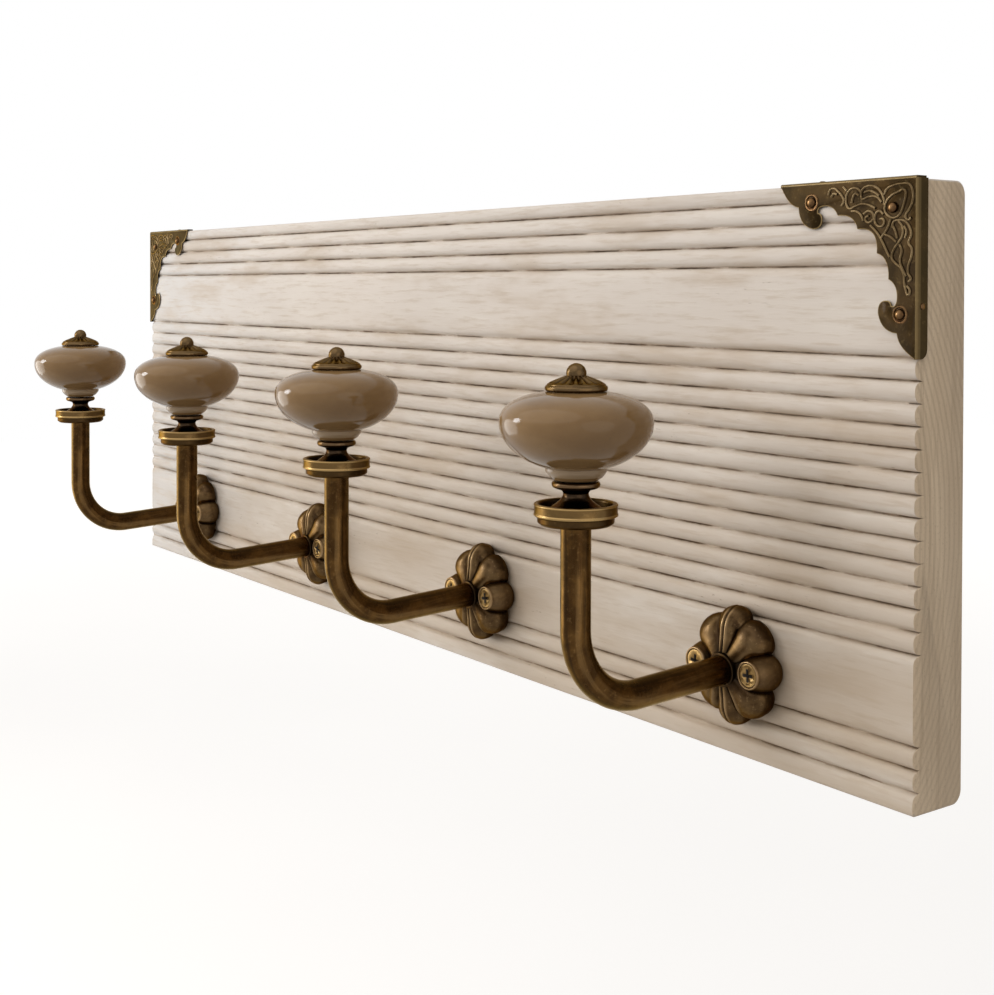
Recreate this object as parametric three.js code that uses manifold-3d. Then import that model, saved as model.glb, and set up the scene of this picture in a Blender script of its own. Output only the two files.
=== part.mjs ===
// Wall coat rack: a reeded, whitewashed board with two brass corner brackets and four
// knob hooks. Millimetres, +Z up, front towards -Y. The origin is the centre of the
// board's back face, which lies in the plane y = 0.

import * as THREE from 'three';
import { mergeVertices } from 'three/addons/utils/BufferGeometryUtils.js';
import Module from 'manifold-3d';

// Board
const boardLength = 600;
const boardHeight = 200;
const boardThickness = 24;
const backEdgeRadius = 4;
const frontEdgeRadius = 1;
const reedWidth = 7.17;
const reedDepth = 3.8;
const edgeReedWidth = 5.6;
const topReeds = 4;
const middleReeds = 13;
const bottomReeds = 3;

// Keyhole slots in the back of the board
const keyholeFromEnd = 100;
const keyholeFromTop = 45;
const keyholeEntryRadius = 5;
const keyholeNeckRadius = 2.6;
const keyholeRun = 11;
const keyholeLip = 3.2;
const keyholeDepth = 9.5;

// Places of the four hooks. The set-off is how far each one stands from an even spacing,
// because they were marked out by hand.
const hookCount = 4;
const hookFromLeftEnd = 82;
const hookFromRightEnd = 73;
const hookSetOff = [0, -3.7, -6, 0];
const hookFromBottom = 33.6;

// Rosette
const crownTipRadius = 21;
const lobeTipRadius = 19.7;
const crownValleyRadius = 16.8;
const sideValleyRadius = 15.6;
const lobeFootInset = 3;
const lobeWidestHeight = 4.2;
const lobeHeight = 11;
const lobeValleyHeight = 7.6;
const lobeCrestRadius = 12.5;
const lobeNeckRadius = 5.7;
const lobeNeckHeight = 11.7;
const valleyNeckHeight = 10.7;
const sideLobeEdge = THREE.MathUtils.degToRad(24);
const crownLobeEdge = THREE.MathUtils.degToRad(72);
const collarRadius = 6;
const collarHeight = 12.4;
const barrelFromCentre = 12.8;

// Outside of a barrel from the board outwards, as [radius, height]
const barrelOutline = [[5.6, 0], [6.7, 2.5], [6.7, 5.5], [5.9, 8.5], [5, 11], [4.75, 12.2]];

// Arm
const armRadius = 5;
const armFall = THREE.MathUtils.degToRad(3.3);
const armReach = 76.9;
const armBendRadius = 25;
const cupAboveSeat = 55.9;

// Cup
const cupRimRadius = 13.7;
const cupFootRadius = 12.45;
const cupHeight = 7;
const cupFootEase = 1.1;
const cupBandHeight = 4.2;
const cupBandSlope = 0.5;
const cupRimWidth = 2;
const cupDishDepth = 3.2;
const cupSocketDepth = 1.5;

// Outside of the spool from its foot up, as [radius, height]
const spoolOutline = [
  [9.4, 0], [9.1, 0.7], [6.6, 2.9], [4.4, 4.9], [4.1, 6.3], [5.6, 7.6], [7.5, 8.1],
  [7.9, 9.2], [7.4, 10.2],
];

// Knob
const knobRadius = 24.95;
const knobHeight = 28.4;
const knobWidestHeight = 18.5;
const knobFootRadius = 7.3;
const knobRingRadius = 10.1;
const knobRingHeight = 3.9;
const knobTopRadius = 9.4;
const knobShoulderPower = 2.3;

// Cap with its ball
const capRadius = 10.15;
const capRimHeight = 2.2;
const capRimEase = 0.4;
const capShoulderRadius = 6.3;
const capShoulderHeight = 3.9;
const capDomeHeight = 4.5;
const capBallRadius = 3.25;
const capBallHeight = 5.6;
const capFlutes = 12;
const capFluteDepth = 0.35;

// Rod through the knob
const rodRadius = 2;
const rodInArm = 13;

// Screws, nails and flange pins
const screwHeadRadius = 4;
const screwHeadRim = 0.6;
const screwHeadDepth = 2.6;
const screwShankRadius = 1.9;
const screwBite = 14;
const screwTipLength = 4;
const crossArm = 2.2;
const crossWidth = 0.9;
const crossDepth = 1.5;
const nailHeadRadius = 1.8;
const nailHeadHeight = 1.3;
const nailShankRadius = 0.8;
const nailLength = 12;
const nailTaper = 1.5;
const pinHeadRadius = 1.3;
const pinHeadHeight = 0.7;
const pinShankRadius = 0.6;
const pinLength = 5;

// Corner bracket
const bracketLeg = 56.5;
const bracketThickness = 0.6;
const bracketFlange = 5;
const flangeTipRadius = 3.2;
const nailAlongLeg = 42.6;
const nailFromEdge = 5.8;
const cornerNailInset = 8.8;
const pinBesideNail = 2.6;

// Clearance between pieces that seat on or pass through each other
const fit = 0.3;

// Facets of round stretches
const reedArcSteps = 3;
const turnSteps = 18;
const smallTurnSteps = 12;
const boreSteps = 8;
const bendSteps = 9;
const lobeSteps = 4;
const crestSteps = 3;

// Values that follow from the sizes above
const halfLength = boardLength / 2;
const halfHeight = boardHeight / 2;
const hookPitch = (boardLength - hookFromLeftEnd - hookFromRightEnd) / (hookCount - 1);
const hookSeatHeight = hookFromBottom - halfHeight;
const cupTop = cupAboveSeat + cupHeight;
const armTop = cupAboveSeat + cupSocketDepth - fit;
const barrelHeight = barrelOutline[barrelOutline.length - 1][1];
const spoolHeight = spoolOutline[spoolOutline.length - 1][1];
const spoolFoot = cupTop - cupDishDepth + fit;
const knobFoot = spoolFoot + spoolHeight + fit;
const capFoot = knobFoot + knobHeight + fit;
const rodBoreRadius = rodRadius + fit;
const rodBoreTop = capFoot + capBallHeight;
const plateBack = boardThickness + fit;
const plateFront = plateBack + bracketThickness;
const bracketProud = fit + bracketThickness;

const hookPlaces = [];
for (let i = 0; i < hookCount; i++) {
  hookPlaces.push(-halfLength + hookFromLeftEnd + i * hookPitch + (hookSetOff[i] ?? 0));
}

// Materials
function finish(color, roughness, metalness) {
  return new THREE.MeshStandardMaterial({ color, roughness, metalness });
}
const paintedWood = finish(0xcdbeac, 0.7, 0);
const antiqueBrass = finish(0x6b4f2c, 0.42, 0.9);
const darkBronze = finish(0x2e241c, 0.4, 0.9);
const brightBrass = finish(0xb08a48, 0.35, 0.95);
const taupeGlaze = finish(0x8a7355, 0.12, 0);
const steel = finish(0x8c8c8c, 0.4, 0.9);

// Solids
const wasm = await Module();
wasm.setup();

function signedVolume(position, index) {
  const a = new THREE.Vector3();
  const b = new THREE.Vector3();
  const c = new THREE.Vector3();
  let sum = 0;
  for (let i = 0; i < index.length; i += 3) {
    a.fromBufferAttribute(position, index[i]);
    b.fromBufferAttribute(position, index[i + 1]);
    c.fromBufferAttribute(position, index[i + 2]);
    sum += a.dot(b.cross(c)) / 6;
  }
  return sum;
}

// One closed body: shared vertices merged, empty triangles dropped, faces pointing out
function closedBody(geometry) {
  const bare = geometry.clone();
  bare.deleteAttribute('normal');
  bare.deleteAttribute('uv');
  const merged = mergeVertices(bare, 1e-4);
  const old = merged.index.array;
  const index = [];
  for (let i = 0; i < old.length; i += 3) {
    const [a, b, c] = [old[i], old[i + 1], old[i + 2]];
    if (a !== b && b !== c && c !== a) index.push(a, b, c);
  }
  if (signedVolume(merged.attributes.position, index) < 0) {
    for (let i = 0; i < index.length; i += 3) {
      [index[i + 1], index[i + 2]] = [index[i + 2], index[i + 1]];
    }
  }
  merged.setIndex(index);
  return merged;
}

function toManifold(geometry) {
  const body = closedBody(geometry);
  return new wasm.Manifold(new wasm.Mesh({
    numProp: 3,
    vertProperties: new Float32Array(body.attributes.position.array),
    triVerts: new Uint32Array(body.index.array),
  }));
}

function toGeometry(manifold) {
  const mesh = manifold.getMesh();
  const geometry = new THREE.BufferGeometry();
  geometry.setAttribute('position', new THREE.BufferAttribute(mesh.vertProperties, 3));
  geometry.setIndex(new THREE.BufferAttribute(mesh.triVerts, 1));
  return geometry;
}

function cut(geometry, ...tools) {
  let body = toManifold(geometry);
  for (const tool of tools) body = body.subtract(toManifold(tool));
  return toGeometry(body);
}

function join(geometry, ...others) {
  let body = toManifold(geometry);
  for (const other of others) body = body.add(toManifold(other));
  return toGeometry(body);
}

function node(name, geometry, material) {
  const body = closedBody(geometry);
  body.computeVertexNormals();
  const mesh = new THREE.Mesh(body, material);
  mesh.name = name;
  return mesh;
}

// A body turned about Z from [radius, height] pairs
function turned(profile, steps = turnSteps) {
  const points = profile.map(([radius, height]) => new THREE.Vector2(radius, height));
  return new THREE.LatheGeometry(points, steps).rotateX(Math.PI / 2);
}

function rod(radius, from, to, steps = boreSteps) {
  return turned([[0, from], [radius, from], [radius, to], [0, to]], steps);
}

// Turns a body that stands along +Z so that it points out of the wall, along -Y
function outOfWall(geometry) {
  return geometry.rotateX(Math.PI / 2);
}

// A section drawn as (distance from the wall, height), run along the board
function alongBoard(shape, length, curveSegments) {
  const geometry = new THREE.ExtrudeGeometry(shape, {
    depth: length, steps: 1, bevelEnabled: false, curveSegments,
  });
  const axes = new THREE.Matrix4().makeBasis(
    new THREE.Vector3(0, -1, 0),
    new THREE.Vector3(0, 0, 1),
    new THREE.Vector3(-1, 0, 0),
  );
  return geometry.applyMatrix4(axes).translate(length / 2, 0, 0);
}

// Board: one plank whose face is planed into half-round reeds and two flat bands
function boardSection() {
  const face = boardThickness;
  const valley = face - reedDepth;
  const half = reedWidth / 2;
  const reedsWidth = (topReeds - 1 + middleReeds + bottomReeds) * reedWidth + edgeReedWidth;
  const flatWidth = (boardHeight - reedsWidth) / 2;
  const shape = new THREE.Shape();
  let z = halfHeight;

  function fallToValley() {
    shape.absellipse(valley, z + half, reedDepth, half, 0, -Math.PI / 2, true);
  }
  function riseFromValley() {
    shape.absellipse(valley, z - half, reedDepth, half, Math.PI / 2, 0, true);
  }
  function reeds(count) {
    for (let i = 0; i < count; i++) {
      shape.absellipse(valley, z - half, reedDepth, half, Math.PI / 2, -Math.PI / 2, true);
      z -= reedWidth;
    }
  }
  function flat() {
    riseFromValley();
    z -= flatWidth;
    shape.lineTo(face, z + half);
    fallToValley();
  }

  shape.moveTo(backEdgeRadius, z);
  shape.lineTo(face - frontEdgeRadius, z);
  shape.absarc(face - frontEdgeRadius, z - frontEdgeRadius, frontEdgeRadius, Math.PI / 2, 0, true);
  z -= edgeReedWidth;
  shape.lineTo(face, z + half);
  fallToValley();
  reeds(topReeds - 1);
  flat();
  reeds(middleReeds);
  flat();
  reeds(bottomReeds - 1);
  riseFromValley();
  shape.lineTo(face, -halfHeight + frontEdgeRadius);
  shape.absarc(
    face - frontEdgeRadius, -halfHeight + frontEdgeRadius, frontEdgeRadius, 0, -Math.PI / 2, true,
  );
  shape.lineTo(backEdgeRadius, -halfHeight);
  shape.absarc(
    backEdgeRadius, -halfHeight + backEdgeRadius, backEdgeRadius, -Math.PI / 2, -Math.PI, true,
  );
  shape.lineTo(0, halfHeight - backEdgeRadius);
  shape.absarc(
    backEdgeRadius, halfHeight - backEdgeRadius, backEdgeRadius, Math.PI, Math.PI / 2, true,
  );
  return shape;
}

// A slot with round ends that stands up from the entry hole, cut into the back
function slotTool(radius, from, to) {
  const shape = new THREE.Shape();
  shape.absarc(0, 0, radius, Math.PI, 2 * Math.PI, false);
  shape.absarc(0, keyholeRun, radius, 0, Math.PI, false);
  const geometry = new THREE.ExtrudeGeometry(shape, {
    depth: to - from, steps: 1, bevelEnabled: false, curveSegments: 4,
  });
  return geometry.translate(0, 0, from).rotateX(Math.PI / 2);
}

// Keyhole: a round entry, a narrow neck above it and a wide channel behind the neck,
// so that a screw's head goes in and the board drops onto its shank
function keyholeTool() {
  const reach = fit;
  const entry = outOfWall(rod(keyholeEntryRadius, -reach, keyholeDepth, turnSteps));
  const neck = slotTool(keyholeNeckRadius, -reach, keyholeDepth);
  const channel = slotTool(keyholeEntryRadius, keyholeLip, keyholeDepth);
  return join(entry, neck, channel);
}

// Places of the fastenings, each as the board and the bracket share them
function screwPlaces() {
  return hookPlaces.flatMap((x) => [x - barrelFromCentre, x + barrelFromCentre]);
}
const bracketNails = [
  { name: 'top', fromEnd: nailAlongLeg, fromTop: nailFromEdge },
  { name: 'corner', fromEnd: cornerNailInset, fromTop: cornerNailInset },
  { name: 'side', fromEnd: nailFromEdge, fromTop: nailAlongLeg },
];
const pinAlongLeg = nailAlongLeg - pinBesideNail;
const pinFromWall = plateFront - bracketFlange / 2;
const nailHoleRadius = nailShankRadius + fit;
const pinHoleRadius = pinShankRadius + fit;

function board() {
  const tools = [];
  for (const side of [-1, 1]) {
    const keyholeX = side * (halfLength - keyholeFromEnd);
    tools.push(keyholeTool().translate(keyholeX, 0, halfHeight - keyholeFromTop));
    for (const nail of bracketNails) {
      const hole = outOfWall(rod(nailHoleRadius, -nailLength, fit));
      const x = side * (halfLength - nail.fromEnd);
      tools.push(hole.translate(x, -boardThickness, halfHeight - nail.fromTop));
    }
    const pinHole = rod(pinHoleRadius, -pinLength, fit);
    const endHole = pinHole.clone().rotateY(side * Math.PI / 2);
    tools.push(endHole.translate(side * halfLength, -pinFromWall, halfHeight - pinAlongLeg));
    tools.push(pinHole.translate(side * (halfLength - pinAlongLeg), -pinFromWall, halfHeight));
  }
  for (const x of screwPlaces()) {
    const pilot = outOfWall(rod(screwShankRadius + fit, -screwBite - fit, fit));
    tools.push(pilot.translate(x, -boardThickness, hookSeatHeight));
  }
  return cut(alongBoard(boardSection(), boardLength, reedArcSteps), ...tools);
}

// Corner bracket: the scrolled inner edge of one leg, from its tip to the notch on the
// diagonal, as quadratic arcs [control, end]. u runs along the leg from the corner and
// v across it from the outer edge.
const scrollArcs = [
  [[0.938, 6.8], [0.86, 7.2]],
  [[0.853, 13.5], [0.747, 14.7]],
  [[0.678, 14.8], [0.676, 11.6]],
  [[0.676, 9.6], [0.708, 9.4]],
  [[0.715, 7.2], [0.655, 7.2]],
  [[0.584, 7.2], [0.558, 10.6]],
  [[0.432, 10.2], [0.411, 15.3]],
];
const notchControl = 14.5;

function plateShape() {
  const shape = new THREE.Shape();
  const arcs = scrollArcs.map((arc) => arc.map(([u, v]) => [u * bracketLeg, v]));
  const outer = bracketProud;
  shape.moveTo(outer, outer);
  shape.lineTo(-bracketLeg, outer);
  shape.lineTo(-bracketLeg, 0);
  for (const [control, end] of arcs) {
    shape.quadraticCurveTo(-control[0], -control[1], -end[0], -end[1]);
  }
  const [lastU, lastV] = arcs[arcs.length - 1][1];
  shape.quadraticCurveTo(-notchControl, -notchControl, -lastV, -lastU);
  for (let i = arcs.length - 1; i >= 0; i--) {
    const control = arcs[i][0];
    const end = i > 0 ? arcs[i - 1][1] : [bracketLeg, 0];
    shape.quadraticCurveTo(-control[1], -control[0], -end[1], -end[0]);
  }
  shape.lineTo(outer, -bracketLeg);
  return shape;
}

// A flange drawn as (along the leg, away from the front), with its free corner rounded
function flangeShape() {
  const shape = new THREE.Shape();
  shape.moveTo(-bracketProud, 0);
  shape.lineTo(bracketLeg, 0);
  shape.lineTo(bracketLeg, bracketFlange - flangeTipRadius);
  shape.absarc(
    bracketLeg - flangeTipRadius, bracketFlange - flangeTipRadius, flangeTipRadius,
    0, Math.PI / 2, false,
  );
  shape.lineTo(-bracketProud, bracketFlange);
  return shape;
}

// The right-hand bracket, drawn about the board's top right corner on the wall plane
function bracket() {
  const sheet = { depth: bracketThickness, steps: 1, bevelEnabled: false, curveSegments: 3 };
  const plate = new THREE.ExtrudeGeometry(plateShape(), sheet)
    .rotateX(Math.PI / 2)
    .translate(0, -plateBack, 0);
  const flange = new THREE.ExtrudeGeometry(flangeShape(), sheet);
  const topFlange = flange.clone()
    .rotateY(Math.PI)
    .translate(0, -plateFront, bracketProud);
  const sideFlange = flange.clone()
    .rotateY(Math.PI / 2)
    .translate(fit, -plateFront, 0);
  const tools = bracketNails.map((nail) => (
    outOfWall(rod(nailHoleRadius, 0, fit + plateFront)).translate(-nail.fromEnd, 0, -nail.fromTop)
  ));
  const pinHole = rod(pinHoleRadius, 0, fit + bracketProud);
  tools.push(pinHole.clone().rotateY(Math.PI / 2).translate(0, -pinFromWall, -pinAlongLeg));
  tools.push(pinHole.translate(-pinAlongLeg, -pinFromWall, 0));
  return cut(join(plate, topFlange, sideFlange), ...tools);
}

// A nail or pin with a domed head that stands along +Z, its head's underside at z = 0
function domedNail(headRadius, headHeight, shankRadius, length) {
  const dome = [];
  const domeSteps = 3;
  for (let i = 0; i <= domeSteps; i++) {
    const angle = (i / domeSteps) * Math.PI / 2;
    dome.push([headRadius * Math.cos(angle), headHeight * Math.sin(angle)]);
  }
  const tip = shankRadius * nailTaper;
  return turned(
    [[0, -length], [shankRadius, tip - length], [shankRadius, 0], ...dome],
    boreSteps,
  );
}

// Rosette: cast lobes around the arm's socket, four broad ones on the diagonals and two
// narrow ones above and below. At the sides, barrels that hold the screws take their place.
// A column is one direction from the centre: its angle, how far out it reaches, and how
// far it lies up a lobe's swell, from 0 in a valley to 1 on the crest.
function quadrantColumns() {
  const columns = [];
  const add = (angle, across, valleyRadius, tipRadius) => {
    const swell = Math.sqrt(1 - across * across);
    columns.push({ angle, swell, widest: THREE.MathUtils.lerp(valleyRadius, tipRadius, swell) });
  };
  add(0, 1, sideValleyRadius, lobeTipRadius);
  for (let i = 0; i <= lobeSteps; i++) {
    const share = i / lobeSteps;
    const valleyRadius = share < 0.5 ? sideValleyRadius : crownValleyRadius;
    const angle = THREE.MathUtils.lerp(sideLobeEdge, crownLobeEdge, share);
    add(angle, 2 * share - 1, valleyRadius, lobeTipRadius);
  }
  add((crownLobeEdge + Math.PI / 2) / 2, 0.5, crownValleyRadius, crownTipRadius);
  add(Math.PI / 2, 0, crownValleyRadius, crownTipRadius);
  return columns;
}

function allColumns() {
  const quadrant = quadrantColumns();
  const columns = [];
  for (let turn = 0; turn < 4; turn++) {
    const mirrored = turn % 2 === 1;
    const from = turn * Math.PI / 2;
    const ordered = mirrored ? quadrant.slice().reverse() : quadrant;
    for (const column of ordered.slice(0, -1)) {
      const angle = from + (mirrored ? Math.PI / 2 - column.angle : column.angle);
      columns.push({ ...column, angle });
    }
  }
  return columns;
}

// Down one column of the rosette: [radius, height] from its foot over the crest to the
// neck beside the collar
function lobeProfile({ swell, widest }) {
  const height = THREE.MathUtils.lerp(lobeValleyHeight, lobeHeight, swell);
  const profile = [[widest - lobeFootInset, 0], [widest, lobeWidestHeight]];
  for (let i = 1; i <= crestSteps; i++) {
    const turn = (i / crestSteps) * Math.PI / 2;
    profile.push([
      lobeCrestRadius + (widest - lobeCrestRadius) * Math.cos(turn),
      lobeWidestHeight + (height - lobeWidestHeight) * Math.sin(turn),
    ]);
  }
  profile.push([lobeNeckRadius, THREE.MathUtils.lerp(valleyNeckHeight, lobeNeckHeight, swell)]);
  return profile;
}

function lobedBody() {
  const columns = allColumns();
  const profiles = columns.map(lobeProfile);
  const rings = profiles[0].length;
  const positions = [];
  columns.forEach(({ angle }, i) => {
    for (const [radius, height] of profiles[i]) {
      positions.push(radius * Math.cos(angle), radius * Math.sin(angle), height);
    }
  });
  const foot = columns.length * rings;
  const top = foot + 1;
  positions.push(0, 0, 0, 0, 0, valleyNeckHeight);
  const index = [];
  const last = rings - 1;
  for (let i = 0; i < columns.length; i++) {
    const here = i * rings;
    const next = ((i + 1) % columns.length) * rings;
    for (let j = 0; j < last; j++) {
      index.push(here + j, next + j, next + j + 1, here + j, next + j + 1, here + j + 1);
    }
    index.push(foot, next, here, top, here + last, next + last);
  }
  const geometry = new THREE.BufferGeometry();
  geometry.setAttribute('position', new THREE.Float32BufferAttribute(positions, 3));
  geometry.setIndex(index);
  return outOfWall(geometry);
}

function barrel() {
  return outOfWall(turned([[0, 0], ...barrelOutline, [0, barrelHeight]], smallTurnSteps));
}

// A screw that stands along +Z with its head's face at z = 0; grown by a clearance, the
// same form is the hole that takes it
function screwForm(length, clearance = 0) {
  const rim = screwHeadRadius + clearance;
  const shank = screwShankRadius + clearance;
  return turned([
    [0, -length], [shank, screwTipLength - length], [shank, -screwHeadDepth],
    [rim, -screwHeadRim], [rim, clearance], [0, clearance],
  ], smallTurnSteps);
}

function crossRecess() {
  const a = crossArm;
  const w = crossWidth / 2;
  const shape = new THREE.Shape([
    [a, -w], [a, w], [w, w], [w, a], [-w, a], [-w, w],
    [-a, w], [-a, -w], [-w, -w], [-w, -a], [w, -a], [w, -w],
  ].map(([x, y]) => new THREE.Vector2(x, y)));
  const geometry = new THREE.ExtrudeGeometry(shape, {
    depth: crossDepth + fit, steps: 1, bevelEnabled: false,
  });
  return geometry.translate(0, 0, -crossDepth);
}

function screw() {
  return outOfWall(cut(screwForm(barrelHeight + screwBite), crossRecess()));
}

function rosette() {
  const seat = fit;
  const collar = outOfWall(rod(collarRadius, 1, collarHeight, smallTurnSteps)).rotateX(armFall);
  const bore = outOfWall(rod(armRadius + fit, -collarRadius, 2 * collarHeight, smallTurnSteps));
  const barrels = [];
  const holes = [];
  for (const side of [-1, 1]) {
    const x = side * barrelFromCentre;
    barrels.push(barrel().translate(x, 0, 0));
    const hole = outOfWall(screwForm(barrelHeight + screwBite, fit));
    holes.push(hole.translate(x, -barrelHeight + fit, 0));
  }
  const body = join(lobedBody(), collar, ...barrels);
  return cut(body, bore.rotateX(armFall), ...holes).translate(0, -seat, 0);
}

// Arm: a straight stretch that falls away from the wall, a bend and an upright. One step
// for each straight stretch and equal steps round the bend.
class ArmAxis extends THREE.Curve {
  constructor() {
    super();
    const start = fit + armRadius * Math.tan(armFall);
    const across = armReach - start - armBendRadius * (1 + Math.sin(armFall));
    this.length = across / Math.cos(armFall);
    this.start = new THREE.Vector3(0, -start, -start * Math.tan(armFall));
    const out = new THREE.Vector3(0, -Math.cos(armFall), -Math.sin(armFall));
    const up = new THREE.Vector3(0, -Math.sin(armFall), Math.cos(armFall));
    this.bendStart = this.start.clone().addScaledVector(out, this.length);
    this.centre = this.bendStart.clone().addScaledVector(up, armBendRadius);
  }

  bendPoint(share) {
    const from = -Math.PI / 2 + armFall;
    const angle = from - share * (Math.PI / 2 + armFall);
    return this.centre.clone().add(
      new THREE.Vector3(0, armBendRadius * Math.cos(angle), armBendRadius * Math.sin(angle)),
    );
  }

  getPointAt(share) {
    const step = share * (bendSteps + 2);
    if (step <= 1) return this.start.clone().lerp(this.bendStart, step);
    if (step <= bendSteps + 1) return this.bendPoint((step - 1) / bendSteps);
    const top = new THREE.Vector3(0, -armReach, armTop);
    return this.bendPoint(1).lerp(top, step - bendSteps - 1);
  }

  getPoint(share) {
    return this.getPointAt(share);
  }

  getTangentAt(share) {
    const step = Math.min(Math.max(share * (bendSteps + 2) - 1, 0), bendSteps);
    const angle = -armFall + (step / bendSteps) * (Math.PI / 2 + armFall);
    return new THREE.Vector3(0, -Math.cos(angle), Math.sin(angle));
  }
}

function arm() {
  const section = new THREE.Shape();
  section.absarc(0, 0, armRadius, 0, 2 * Math.PI, false);
  const geometry = new THREE.ExtrudeGeometry(section, {
    steps: bendSteps + 2, extrudePath: new ArmAxis(), curveSegments: 6,
  });
  const bore = rod(rodBoreRadius, armTop - rodInArm, armTop + fit).translate(0, -armReach, 0);
  return cut(geometry, bore);
}

// Cup: a turned dish that sits on the arm's end
function cup() {
  const bandFoot = cupHeight - cupBandHeight;
  const dishRadius = cupRimRadius - cupRimWidth;
  const dishFloor = cupHeight - cupDishDepth;
  const socket = armRadius + fit;
  return turned([
    [rodBoreRadius, cupSocketDepth], [socket, cupSocketDepth], [socket, 0],
    [cupFootRadius - cupFootEase, 0], [cupFootRadius, cupFootEase], [cupFootRadius, bandFoot],
    [cupRimRadius, bandFoot + cupBandSlope], [cupRimRadius, cupHeight], [dishRadius, cupHeight],
    [dishRadius, dishFloor],
    [rodBoreRadius, dishFloor], [rodBoreRadius, cupSocketDepth],
  ]);
}

// Spool: a waisted collar between the cup and the knob
function spool() {
  return turned([
    [rodBoreRadius, 0], ...spoolOutline, [rodBoreRadius, spoolHeight], [rodBoreRadius, 0],
  ], smallTurnSteps);
}

// Knob: a flattened ceramic bulb on a short ringed foot, glazed all over
function knob() {
  const lowerSteps = 5;
  const upperSteps = 4;
  const lowerFrom = Math.asin(Math.min(1, knobRingRadius / knobRadius));
  const lowerReach = (knobWidestHeight - knobRingHeight) / Math.cos(lowerFrom);
  const power = 2 / knobShoulderPower;
  const topTurn = Math.acos(Math.min(1, (knobTopRadius / knobRadius) ** (1 / power)));
  const upperReach = (knobHeight - knobWidestHeight) / Math.sin(topTurn) ** power;
  const profile = [[rodBoreRadius, 0], [knobFootRadius, 0], [knobRingRadius, 0.66 * knobRingHeight]];
  for (let i = 0; i <= lowerSteps; i++) {
    const angle = lowerFrom + (i / lowerSteps) * (Math.PI / 2 - lowerFrom);
    profile.push([
      knobRadius * Math.sin(angle), knobWidestHeight - lowerReach * Math.cos(angle),
    ]);
  }
  for (let i = 1; i <= upperSteps; i++) {
    const angle = (i / upperSteps) * topTurn;
    profile.push([
      knobRadius * Math.cos(angle) ** power,
      knobWidestHeight + upperReach * Math.sin(angle) ** power,
    ]);
  }
  profile.push([rodBoreRadius, knobHeight], [rodBoreRadius, 0]);
  return turned(profile);
}

// Cap: a fluted brass dome with a ball, threaded onto the rod
function cap() {
  const rim = capRadius;
  const ballFrom = Math.asin((capDomeHeight - capBallHeight) / capBallRadius);
  const profile = [
    [0, capBallHeight], [rodBoreRadius, capBallHeight], [rodBoreRadius, 0], [rim, 0],
    [rim, capRimHeight - capRimEase], [rim - capRimEase, capRimHeight],
    [capShoulderRadius, capShoulderHeight],
  ];
  const ballSteps = 3;
  for (let i = 0; i <= ballSteps; i++) {
    const angle = ballFrom + (i / ballSteps) * (Math.PI / 2 - ballFrom);
    profile.push([
      capBallRadius * Math.cos(angle), capBallHeight + capBallRadius * Math.sin(angle),
    ]);
  }
  const geometry = turned(profile, 2 * capFlutes);
  const position = geometry.attributes.position;
  for (let i = 0; i < position.count; i++) {
    const radius = Math.hypot(position.getX(i), position.getY(i));
    const isDome = position.getZ(i) > capRimHeight && radius > capBallRadius + fit;
    if (!isDome) continue;
    const angle = Math.atan2(position.getY(i), position.getX(i));
    position.setZ(i, position.getZ(i) + capFluteDepth * Math.cos(capFlutes * angle));
  }
  return geometry;
}

// Assembly
const group = new THREE.Group();
group.add(node('back_board', board(), paintedWood));

const sides = [{ name: 'left', sign: -1 }, { name: 'right', sign: 1 }];
for (const { name, sign } of sides) {
  const corner = bracket().translate(halfLength, 0, halfHeight).scale(sign, 1, 1);
  group.add(node(`corner_bracket_${name}`, corner, antiqueBrass));

  for (const place of bracketNails) {
    const nail = node(
      `bracket_nail_${name}_${place.name}`,
      outOfWall(domedNail(nailHeadRadius, nailHeadHeight, nailShankRadius, nailLength)),
      antiqueBrass,
    );
    nail.position.set(
      sign * (halfLength - place.fromEnd), -plateFront - fit, halfHeight - place.fromTop,
    );
    group.add(nail);
  }

  const pinForm = domedNail(pinHeadRadius, pinHeadHeight, pinShankRadius, pinLength);
  const headFrom = bracketProud + fit;
  const endPin = node(
    `flange_pin_${name}_end`, pinForm.clone().rotateY(sign * Math.PI / 2), antiqueBrass,
  );
  endPin.position.set(sign * (halfLength + headFrom), -pinFromWall, halfHeight - pinAlongLeg);
  const topPin = node(`flange_pin_${name}_top`, pinForm, antiqueBrass);
  topPin.position.set(
    sign * (halfLength - pinAlongLeg), -pinFromWall, halfHeight + headFrom,
  );
  group.add(endPin, topPin);
}

hookPlaces.forEach((x, i) => {
  const name = `hook_${i + 1}`;
  const hook = new THREE.Group();
  hook.position.set(x, -boardThickness, hookSeatHeight);
  hook.add(node(`${name}_rosette`, rosette(), antiqueBrass));
  hook.add(node(`${name}_arm`, arm(), antiqueBrass));
  for (const side of sides) {
    const fastener = node(`${name}_screw_${side.name}`, screw(), brightBrass);
    fastener.position.set(side.sign * barrelFromCentre, -fit - barrelHeight, 0);
    hook.add(fastener);
  }

  const upright = new THREE.Group();
  upright.position.set(0, -armReach, 0);
  const stack = [
    ['cup', cup(), antiqueBrass, cupAboveSeat],
    ['spool', spool(), darkBronze, spoolFoot],
    ['knob', knob(), taupeGlaze, knobFoot],
    ['cap', cap(), antiqueBrass, capFoot],
  ];
  for (const [piece, geometry, material, foot] of stack) {
    const mesh = node(`${name}_${piece}`, geometry, material);
    mesh.position.z = foot;
    upright.add(mesh);
  }
  const studFoot = armTop - rodInArm + fit;
  upright.add(node(`${name}_rod`, rod(rodRadius, studFoot, rodBoreTop - fit), steel));
  hook.add(upright);
  group.add(hook);
});

export default group;
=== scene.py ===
import math

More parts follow.
